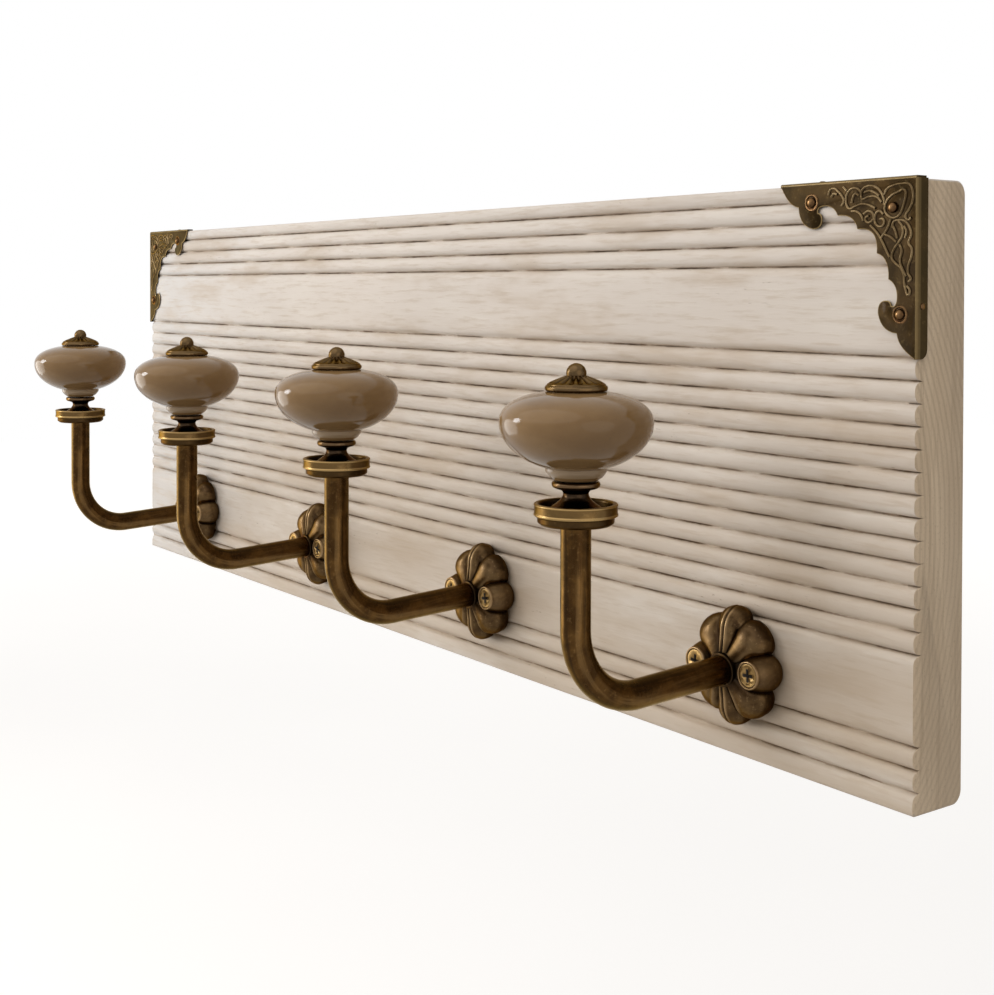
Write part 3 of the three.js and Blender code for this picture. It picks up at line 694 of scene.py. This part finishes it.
nail_profile = [
    (0.8, -3), (0.8, -0.3), (2.9, -0.3), (2.95, 0), (2.7, 0.28), (2.35, 0.28), (2.05, 0.02),
    (1.8, 0.05), (1.7, 0.5), (1.4, 0.95), (0.9, 1.3), (0.35, 1.45), (0, 1.5),
]
nail_rub = [0, 0, 0, 0.1, 0.22, 0.1, -0.4, -0.3, 0, 0.1, 0.2, 0.45, 0.6]
bare_nail = nail_profile[:2] + [(1.8, -0.3)] + nail_profile[7:]
bare_rub = nail_rub[:2] + [0] + nail_rub[7:]
nail_places = (
    ("top", nail_along, nail_in), ("corner", corner_nail, corner_nail),
    ("side", nail_in, nail_along),
)
nail_brass = aged_brass(
    "nail_brass", BROWNED, (0.12, 0.058, 0.024), (0.38, 0.22, 0.10), roughness=0.26, worn=0.1,
)
pin_profile = [(0.6, -2), (0.6, 0), (1.05, 0), (1.0, 0.2), (0.7, 0.36), (0, 0.4)]
pin_rub = [0, 0, 0.1, 0.1, 0.2, 0.3]
pin_along, pin_out = 40, plate_front - flange / 2
half_length, half_height = board_length / 2, board_height / 2
for side, sign in (("left", -1), ("right", 1)):
    for spot, across, down in nail_places:
        ringed = spot != "corner"
        nail = turned(
            f"nail_{side}_{spot}", nail_profile if ringed else bare_nail, 24,
            rub_and_shade=nail_rub if ringed else bare_rub,
        )
        out_of_wall(nail, sign * (half_length - across), -plate_front, half_height - down)
        nail.data.materials.append(nail_brass)
        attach(nail, "root")
        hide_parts(f"bracket_nail_{side}_{spot}")
    for spot in ("end", "top"):
        pin = turned(f"pin_{side}_{spot}", pin_profile, 16, rub_and_shade=pin_rub)
        across, rise = half_length - pin_along, half_height + sheet_gap + sheet
        if spot == "end":
            pin.rotation_euler = (0, sign * math.pi / 2, 0)
            across, rise = half_length + sheet_gap + sheet, half_height - pin_along
        pin.location = Vector((sign * across, -pin_out, rise)) / 1000
        pin.data.materials.append(nail_brass)
        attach(pin, "root")
        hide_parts(f"flange_pin_{side}_{spot}")


# Rosettes: cast brass flowers, screwed flat to the board, that hold the arms. Broad
# lobes lie on the diagonals, narrow ribbed ones above and below, and the two at the
# sides are barrels for the screws.
hook_places = (-218, -73.37, 72.67, 227)
hook_seat = -66.4
arm_fall = math.radians(3.3)
arm_radius = 5
crown_tip, lobe_tip, crown_valley, side_valley = 20.9, 19.7, 16.8, 15.6
lobe_foot, lobe_widest, lobe_high, lobe_low = 3.0, 4.2, 11.0, 7.6
lobe_crest, lobe_neck, neck_high, neck_low = 12.5, 5.7, 11.7, 10.7
side_edge, crown_edge = 24, 72
rib_out, rib_wide, rib_high, rib_side = 1.0, 0.45, 0.3, 0.1
groove_wide, groove_deep, groove_side = 0.4, 0.5, 0.4
lip_in, lip_wide, lip_high, per_degree = 1.7, 0.7, 0.7, 0.01745
barrel_out, barrel_high, cast_gap = 12.8, 12.2, 0.1


def lobe_reach(angle):
    """How far up a lobe's swell a direction lies, how far out it reaches, and its lobe."""
    folded = math.degrees(math.asin(min(1, abs(math.sin(angle)))))
    if folded < side_edge:
        return 0, side_valley, "barrel"
    if folded < crown_edge:
        across = 2 * (folded - side_edge) / (crown_edge - side_edge) - 1
        valley, tip, lobe = side_valley if across < 0 else crown_valley, lobe_tip, "diagonal"
    else:
        across = (90 - folded) / (90 - crown_edge)
        valley, tip, lobe = crown_valley, crown_tip, "crown"
    swell = math.sqrt(max(0, 1 - across * across))
    return swell, valley + (tip - valley) * swell, lobe


def lobe_profile(swell, widest):
    """(radius, height, how near the front) from the foot over the crest to the collar."""
    height = lobe_low + (lobe_high - lobe_low) * swell
    neck = neck_low + (neck_high - neck_low) * swell
    points = [(widest - lobe_foot, 0, 0)]
    for turn in (math.radians(t) for t in (-25, -8, 0, 10, 20, 30, 40, 50, 60, 70, 80, 90)):
        side = max(0, math.sin(turn))
        if turn < 0:
            radius, rise = widest - 0.9 * lobe_foot * turn * turn, lobe_widest * (1 + turn * 1.6)
        else:
            radius = lobe_crest + (widest - lobe_crest) * math.cos(turn)
            rise = lobe_widest + (height - lobe_widest) * side
        points.append((radius, rise, side))
    for share in (0.15, 0.3, 0.5, 0.7, 0.85, 1):
        points.append((
            lobe_crest + (lobe_neck - lobe_crest) * share, height + (neck - height) * share, 1,
        ))
    return points


def rosette_body(name):
    """The casting without its barrels and collar, standing out of the wall."""
    columns = 288
    vertices, rub_and_shade = [], []
    for i in range(columns):
        angle = 2 * math.pi * i / columns
        swell, widest, lobe = lobe_reach(angle)
        for radius, rise, front in lobe_profile(swell, widest):
            off_middle = abs(radius * math.cos(angle))
            # Lobe crests are rubbed bright, and the hollows between lobes and the crown's groove
            # hold black patina. Round the collar and over the lower half, the casting is darkened
            # as painted shade.
            shine = 0.2 * swell * front ** 2 - 0.9 * max(0, 1 - (radius - 5) / 5) ** 0.7
            shine -= 0.5 * (1 - swell) * front + 0.15 * max(0, -math.sin(angle))
            if lobe == "crown":
                ribs = math.exp(-(((off_middle - rib_out) / rib_wide) ** 2))
                groove = math.exp(-((off_middle / groove_wide) ** 2))
                rise += (rib_high * ribs - groove_deep * groove) * front
                sideways = (rib_side * ribs - groove_side * groove) * (1 - front)
                radius += sideways * min(1, rise / 3)
                shine += (0.9 * ribs - 1.2 * groove) * front ** 0.5
            elif lobe == "diagonal" and math.sin(angle) < 0:
                away = crown_edge - math.degrees(math.asin(-math.sin(angle)))
                lip = math.exp(-(((radius * away * per_degree - lip_in) / lip_wide) ** 2))
                rise += lip_high * lip * front
                shine += 0.6 * lip * front
            vertices.append((radius * math.cos(angle), -rise, radius * math.sin(angle)))
            rub_and_shade.append(shine)
    count = len(vertices) // columns
    faces = skin(columns, count, ends=False, swept_round=True)
    faces.append(tuple(i * count for i in range(columns)))
    faces.append(tuple(i * count + count - 1 for i in range(columns)))
    return solid_piece(name, vertices, faces, sharp=60, rub_and_shade=rub_and_shade)


def joined(name, pieces):
    """Joins loose pieces into one object that keeps its place at the origin."""
    bpy.context.view_layer.update()
    work = bmesh.new()
    for piece in pieces:
        piece.data.transform(piece.matrix_world)
        work.from_mesh(piece.data)
    mesh = bpy.data.meshes.new(name)
    work.to_mesh(mesh)
    work.free()
    for piece in pieces:
        bpy.data.objects.remove(piece)
    return set_out(name, mesh)


def rounded(profile, ease):
    """The profile with each of its corners eased."""
    steps = 4
    points = [Vector(p) for p in profile]
    out = [points[0]]
    for before, corner, after in zip(points, points[1:], points[2:]):
        back, on = before - corner, after - corner
        cut = min(ease, 0.45 * back.length, 0.45 * on.length)
        start, end = corner + back.normalized() * cut, corner + on.normalized() * cut
        for i in range(steps + 1):
            t = i / steps
            out.append(start * (1 - t) ** 2 + corner * 2 * t * (1 - t) + end * t * t)
    return [tuple(p) for p in out + [points[-1]]]


def rosette():
    parts = [rosette_body("cast")]
    for sign in (-1, 1):
        profile = rounded([
            (0, 0.2), (5.6, 0.2), (6.7, 2.5), (6.7, 5.5), (5.9, 8.5), (5.0, 11),
            (4.75, barrel_high), (4.15, barrel_high), (4.15, 8.5), (0, 8.5),
        ], 0.9)
        rub_and_shade = [0.9 if 11.5 < h else -0.5 if h < 1.2 else 0.15 for r, h in profile]
        barrel = turned("barrel", profile, 40, sharp=50, rub_and_shade=rub_and_shade)
        parts.append(out_of_wall(barrel, sign * barrel_out, 0, 0))
    collar_profile = rounded([(5.15, 4), (6, 4), (6, 12.3), (5.15, 12.3)], 0.5)
    # The collar is darkened all over as painted shade round the arm's foot.
    collar = turned("collar", collar_profile, 40, sharp=50, rub_and_shade=[-0.75] * len(collar_profile))
    collar.rotation_euler = (math.pi / 2 + arm_fall, 0, 0)
    parts.append(collar)
    return joined("rosette", parts)


def on_each_hook(node, shape, material, out, rise):
    """Sets a copy of the shape at each hook, out from the board and up from its seat."""
    shape.data.materials.append(material)
    for number, x in enumerate(hook_places, 1):
        piece = set_out(f"{node}_{number}", shape.data)
        piece.location = Vector((x, -board_thick - out, hook_seat + rise)) / 1000
        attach(piece, "root")
        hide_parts(f"hook_{number}_{node}")
    bpy.data.objects.remove(shape)


cast_brass = aged_brass(
    "cast_brass", (0.038, 0.020, 0.008), (0.104, 0.062, 0.025), (0.26, 0.17, 0.085),
    roughness=0.34, spots=1.2, worn=0.35,
)
on_each_hook("rosette", rosette(), cast_brass, cast_gap, 0)


# Screws: bright brass wood screws with flat heads and a cross recess. Two go through
# each rosette's barrels into the board.
cross_half, cross_reach, cross_foot = 0.56, 2.45, 0.45
cross_top, cross_bottom = 0.3, -1.7
cross_turns = (24, -17, 9, 4)
head_sunk = 0.1


def screw_head():
    """A short screw that stands on Z, with a cross cut into its flat head."""
    profile = rounded([(1.9, -6), (1.9, -2.6), (3.95, -0.7), (3.95, -0.12), (3.7, 0), (0, 0)], 0.25)
    rub_and_shade = [0.0 if r > 3.8 else 0.2 for r, h in profile]
    head = turned("head", profile, 40, rub_and_shade=rub_and_shade)
    cutters = []
    for turn in (0, math.pi / 2):
        vertices = [
            (across * cross_reach * taper, along * cross_half, z)
            for z, taper in ((cross_top, 1.0), (cross_bottom, cross_foot))
            for across, along in ((-1, -1), (1, -1), (1, 1), (-1, 1))
        ]
        faces = [(0, 1, 2, 3), (4, 5, 6, 7)] + skin(2, 4, ends=False)
        cutter = solid_piece("cross", vertices, faces)
        cutter.rotation_euler = (0, 0, turn)
        cutters.append(cutter)
    cut_out(head, cutters)
    return head


screw_brass = aged_brass(
    "screw_brass", (0.19, 0.115, 0.042), (0.32, 0.205, 0.078), (0.52, 0.36, 0.16),
    roughness=0.4, spots=2.0, worn=0.2,
)
head = screw_head()
# Painted shade: the faces inside the cross recess get a near-black finish of their own.
painted_recess_shade, tree, shader = new_material("recess_painted_shade", 0.7)
recess_flecks = mottle(tree, (2400, 2400, 2400), detail=2)
recess_shade_colour = coat(tree, (0.008, 0.005, 0.003), (0.03, 0.018, 0.009), recess_flecks, 0.35, 0.65)
tree.links.new(recess_shade_colour, shader.inputs["Base Color"])
head.data.materials.append(screw_brass)
head.data.materials.append(painted_recess_shade)
for face in head.data.polygons:
    x, y, z = (value * 1000 for value in face.center)
    face.material_index = int(z < -0.02 and math.hypot(x, y) < 2.5 and z > -2)
for number, x in enumerate(hook_places, 1):
    for side, sign in (("left", -1), ("right", 1)):
        screw = set_out(f"screw_{number}_{side}", head.data)
        out_of_wall(
            screw, x + sign * barrel_out, -board_thick - barrel_high + head_sunk, hook_seat,
        )
        screw.rotation_euler.rotate_axis("Z", math.radians(cross_turns[number - 1] * sign))
        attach(screw, "root")
        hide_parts(f"hook_{number}_screw_{side}")
bpy.data.objects.remove(head)


# Arms: round brass rod, bent once, so that it leaves the rosette on a slight fall and
# then stands straight up. It is worn brown, with dark and paler streaks along it.
arm_reach, arm_bend, cup_rise = 76.9, 25, 55.9
arm_start, arm_in_cup = 0.6, 1


def arm_line():
    """Points and directions along the middle of the rod, out from the board's face."""
    across = arm_reach - arm_start - arm_bend * (1 + math.sin(arm_fall))
    length = across / math.cos(arm_fall)
    points = []
    for i in range(13):
        run = arm_start + length * i / 12
        points.append(((-run * math.cos(arm_fall), -run * math.sin(arm_fall)), -arm_fall))
    (y, z), _ = points[-1]
    centre = (y - arm_bend * math.sin(arm_fall), z + arm_bend * math.cos(arm_fall))
    for i in range(1, 25):
        heading = -arm_fall + (math.pi / 2 + arm_fall) * i / 24
        points.append((
            (centre[0] - arm_bend * math.sin(heading), centre[1] - arm_bend * math.cos(heading)),
            heading,
        ))
    (y, z), _ = points[-1]
    for i in range(1, 9):
        points.append(((y, z + (cup_rise + arm_in_cup - z) * i / 8), math.pi / 2))
    return points


def arm():
    sides = 32
    vertices, wrapped = [], []
    line = arm_line()
    length, before = 0, line[0][0]
    for (y, z), heading in line:
        length += math.dist(before, (y, z))
        before = (y, z)
        for i in range(sides):
            turn = 2 * math.pi * i / sides
            away = arm_radius * math.cos(turn)
            vertices.append((
                arm_radius * math.sin(turn),
                y - away * math.sin(heading),
                z - away * math.cos(heading),
            ))
            wrapped += [away / 1000, arm_radius * math.sin(turn) / 1000, length / 1000]
    piece = solid_piece("arm", vertices, skin(len(line), sides), sharp=60)
    layer = piece.data.attributes.new("wrapped", "FLOAT_VECTOR", "POINT")
    layer.data.foreach_set("vector", wrapped)
    return piece


rod_brass = aged_brass(
    "rod_brass", (0.037, 0.017, 0.0042), (0.098, 0.049, 0.0125), (0.20, 0.118, 0.045),
    roughness=0.24, spots=1.1, worn=0.4, edge=(1.0, 0.82, 0.56), drawn=True,
)
on_each_hook("arm", arm(), rod_brass, 0, 0)


# Cups: turned brass dishes on the arms' ends. The upper band is polished bright on its
# two edges, and the inside and the step below are painted dark as shade.
bore = 2.4
cup_high, dish_deep = 7, 3.2
cup_profile = rounded([
    (4.9, 0), (11.3, 0), (12.45, 0.9), (12.45, 2.6), (12.9, 2.9), (13.55, 3.0), (13.7, 3.5),
    (13.45, 3.9), (13.45, 6.2), (13.7, 6.5), (13.4, 7.0), (12.2, 7.0), (11.8, 6.4), (11.6, 3.9),
    (10.8, 3.5), (bore, 3.5), (bore, 0.2),
], 0.3)


def cup_rub_and_shade(radius, height):
    if radius > 13 and (height < 3.95 or height > 6.3):
        return 0.6
    if radius > 13:
        return 0.12
    if height > 6.7:
        return 0.15
    # Painted shade: the dish's inside and the step below are darkened.
    return -0.7 if height > 3.2 else -0.4


cup_brass = aged_brass(
    "cup_brass", (0.038, 0.020, 0.007), (0.085, 0.046, 0.014), (0.40, 0.265, 0.11),
    roughness=0.30, spots=1.0, worn=0.15, edge=(0.62, 0.50, 0.36),
)
cup = turned("cup", cup_profile, 72, rub_and_shade=[cup_rub_and_shade(r, h) for r, h in cup_profile])
on_each_hook("cup", cup, cup_brass, arm_reach, cup_rise)


# Spools: waisted bronze collars, turned and blackened. They stand in the cups and carry
# the knobs, with the threaded rods through their middles.
spool_gap, spool_high = 0.1, 10.2
spool_rise = cup_rise + cup_high - dish_deep + spool_gap
spool_profile = rounded([
    (bore, 0), (9.4, 0), (9.3, 0.9), (8.2, 1.9), (6.6, 2.9), (5.1, 4.1), (4.3, 5.3), (4.1, 6.3),
    (4.5, 7.1), (5.6, 7.6), (6.8, 7.9), (7.6, 8.3), (7.9, 9.1), (7.8, 9.7), (7.3, spool_high),
    (bore, spool_high),
], 0.5)
spool_bronze = aged_brass(
    "spool_bronze", (0.012, 0.007, 0.004), (0.032, 0.019, 0.010), (0.18, 0.11, 0.055),
    roughness=0.22, spots=1.4, worn=0.15,
)
spool = turned(
    "spool", spool_profile, 56,
    rub_and_shade=[0.5 if r > 7.3 and h > 8 else 0.05 for r, h in spool_profile],
)
on_each_hook("spool", spool, spool_bronze, arm_reach, spool_rise)


# Knobs: flattened ceramic bulbs on a short ringed foot, cast hollow for the threaded
# rod, and dipped in a taupe glaze that lies thinner and paler on the foot's edges.
seat = 0.3
knob_rise = spool_rise + spool_high + seat
knob_radius, knob_high, knob_widest = 24.93, 28.5, 18.5
foot_radius, foot_high, top_radius, shoulder = 10.1, 4.0, 9.3, 2 / 2.3
GLAZE, GLAZE_PALE = (0.207, 0.122, 0.051), (0.250, 0.155, 0.069)
GLAZE_SPECK, GLAZE_THIN = (0.15, 0.10, 0.055), (0.44, 0.35, 0.25)


def knob_profile():
    points = rounded([
        (bore, 0), (7.2, 0), (8.8, 1.2), (10.0, 2.9), (10.05, 3.9), (foot_radius, foot_high),
    ], 0.8)
    start = math.asin(foot_radius / knob_radius)
    reach = (knob_widest - foot_high) / math.cos(start)
    for i in range(1, 29):
        angle = start + (math.pi / 2 - start) * i / 28
        points.append((knob_radius * math.sin(angle), knob_widest - reach * math.cos(angle)))
    top = math.acos((top_radius / knob_radius) ** (1 / shoulder))
    reach = (knob_high - knob_widest) / math.sin(top) ** shoulder
    for i in range(1, 29):
        angle = top * i / 28
        points.append((
            knob_radius * math.cos(angle) ** shoulder,
            knob_widest + reach * math.sin(angle) ** shoulder,
        ))
    return points + [(bore, knob_high)]


def taupe_glaze():
    material, tree, shader = new_material("taupe_glaze", 0.11)
    clouds = mottle(tree, (55, 55, 90), detail=3)
    specks = mottle(tree, (900, 900, 900), detail=2)
    colour = coat(tree, GLAZE, GLAZE_PALE, clouds, 0.3, 0.7)
    colour = coat(tree, colour, GLAZE_SPECK, specks, 0.62, 0.74, 0.3)
    colour = blend_colour(tree, marked(tree, "rub_and_shade"), colour, GLAZE_THIN)
    tree.links.new(colour, shader.inputs["Base Color"])
    dial(shader, {"IOR": 1.31})
    emboss(tree, shader, clouds, 0.04, 0.0006)
    return material


profile = knob_profile()
knob = turned(
    "knob", profile, 96, sharp=50,
    rub_and_shade=[0.5 if 1.5 < h < 4.2 and r > 8 else 0 for r, h in profile],
)
on_each_hook("knob", knob, taupe_glaze(), arm_reach, knob_rise)


# Caps: spun brass rosettes with a ring of flutes and a ball on top. They screw onto the
# threaded rod and clamp knob, spool and cup to the arm.
solid_knob_high = 28.4
cap_rise = knob_rise + solid_knob_high + seat
cap_radius, cap_flutes, flute_deep = 10.15, 18, 0.75
flute_start, flute_end = 9.05, 3.3
dome_edge, dome_foot, dome_reach, dome_rise = 9.1, 2.4, 5.9, 2.5
ball_radius, ball_high, ball_foot = 3.28, 5.6, -0.8


def cap_shape():
    profile = rounded([
        (bore, 0), (9.9, 0), (cap_radius, 0.5), (cap_radius, 1.3), (9.8, 1.7), (9.55, 1.75),
        (9.5, 2.1), (dome_edge, dome_foot),
    ], 0.3)
    for i in range(1, 13):
        share = i / 12
        profile.append((dome_edge - dome_reach * share, dome_foot + dome_rise * share ** 0.85))
    start = math.asin(ball_foot / ball_radius)
    for i in range(17):
        angle = start + (math.pi / 2 - start) * i / 16
        profile.append((
            ball_radius * math.cos(angle), ball_high + ball_radius * math.sin(angle),
        ))
    cap = turned("cap", profile, 144, sharp=50)
    layer = cap.data.attributes["rub_and_shade"]
    for vertex in cap.data.vertices:
        x, y, z = vertex.co * 1000
        radius, angle = math.hypot(x, y), math.atan2(y, x)
        shine = 0.5 if radius > 9.6 or z > 7 else 0.35
        if flute_end < radius < flute_start and z > dome_foot:
            wave = 0.5 + 0.5 * math.cos(cap_flutes * angle)
            fade = min(1, (flute_start - radius) / 1.2, (radius - flute_end) / 0.8)
            vertex.co.z -= flute_deep / 1000 * (1 - wave) * fade
            shine = 0.7 * wave ** 2 * fade
        layer.data[vertex.index].value = shine
    return cap


cap_brass = aged_brass(
    "cap_brass", (0.024, 0.013, 0.005), (0.058, 0.033, 0.012), (0.17, 0.110, 0.052),
    roughness=0.25, spots=1.6, worn=0.15,
)
on_each_hook("cap", cap_shape(), cap_brass, arm_reach, cap_rise)


# Threaded rods: plain steel, hidden inside cup, spool and knob. They stay as drawn and
# only get their finish.
def plain_steel():
    material, tree, shader = new_material("plain_steel", 0.4, metallic=1.0)
    turned_lines = mottle(tree, (200, 200, 2600), detail=2)
    colour = coat(tree, (0.30, 0.30, 0.30), (0.44, 0.44, 0.43), turned_lines, 0.35, 0.65)
    tree.links.new(colour, shader.inputs["Base Color"])
    return material


steel = plain_steel()
for number in range(1, len(hook_places) + 1):
    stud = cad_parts[f"hook_{number}_rod"]
    for slot in stud.material_slots:
        slot.material = steel


# Room: a plain pale floor well below the rack and pale air. A window on the left shows in
# the brass and the glaze, and soft light from the front, above and both sides does the rest.
floor_drop, floor_half = -0.62, 6
floor = set_out("floor", bpy.data.meshes.new("floor"))
work = bmesh.new()
bmesh.ops.create_grid(work, x_segments=2, y_segments=2, size=floor_half)
work.to_mesh(floor.data)
work.free()
floor.location = (0, 0, floor_drop)


def seen_directly(tree):
    """1 where the camera, a reflection or glass looks straight at the surface."""
    path = tree.nodes.new("ShaderNodeLightPath")
    both = combined(tree, "MAXIMUM", path.outputs["Is Camera Ray"], path.outputs["Is Glossy Ray"])
    return combined(tree, "MAXIMUM", both, path.outputs["Is Transmission Ray"])


material, tree, shader = new_material("pale_floor", 0.9)
cloudy = mottle(tree, (1.5, 1.5, 1.5), detail=2)
floor_colour = coat(tree, (0.39, 0.38, 0.37), (0.41, 0.40, 0.39), cloudy, 0.3, 0.7)
tree.links.new(floor_colour, shader.inputs["Base Color"])
dial(shader, {"Emission Color": (1, 1, 1, 1)})
reach = tree.nodes.new("ShaderNodeVectorMath")
reach.operation = "LENGTH"
tree.links.new(place(tree, (1, 1, 1)), reach.inputs[0])
pale = between(tree, reach.outputs["Value"], 0.6, 4.0, 0.67, 0.82)
glow = combined(tree, "MULTIPLY", seen_directly(tree), pale)
tree.links.new(glow, shader.inputs["Emission Strength"])
floor.data.materials.append(material)

world = bpy.data.worlds.new("air")
world.use_nodes = True
tree = world.node_tree
background = tree.nodes["Background"]
seen = seen_directly(tree)
tree.links.new(blend_colour(tree, seen, (1, 0.94, 0.86), (1, 1, 1)), background.inputs["Color"])
tree.links.new(between(tree, seen, 0, 1, 0.38, 1.0), background.inputs["Strength"])
bpy.context.scene.world = world


def soft_lamp(name, spot, size, watts, colour, aim=(0, 0, 0)):
    """A broad round lamp at the spot, turned towards what it is aimed at."""
    lamp = set_out(name, bpy.data.lights.new(name, "AREA"))
    lamp.data.shape = "ELLIPSE"
    lamp.data.size, lamp.data.size_y = size
    lamp.data.energy = watts
    lamp.data.color = colour
    lamp.location = spot
    lamp.rotation_euler = (Vector(aim) - Vector(spot)).to_track_quat("-Z", "Y").to_euler()
    return lamp


window = soft_lamp("window", (-1.33, -1.42, 0.52), (0.56, 0.68), 14, (0.97, 1.0, 1.04))
window.visible_diffuse = False
front = soft_lamp("front", (-0.3, -1.45, 0.5), (0.8, 0.8), 6.2, (0.98, 0.98, 1.0))
front.visible_glossy = False
soft_lamp("ceiling", (-0.1, -1.5, 1.8), (4.2, 3.2), 29, (1.0, 0.96, 0.90))
soft_lamp("table", (-1.3, -0.85, -0.2), (1.1, 1.1), 10, (1.0, 0.96, 0.9), aim=(0.1, 0, -0.05))
soft_lamp("fill", (2.3, -0.3, 0.4), (2.0, 2.0), 7.5, (1.0, 0.91, 0.80), aim=(0.2, 0, 0))
bpy.context.scene.view_settings.view_transform = "Standard"
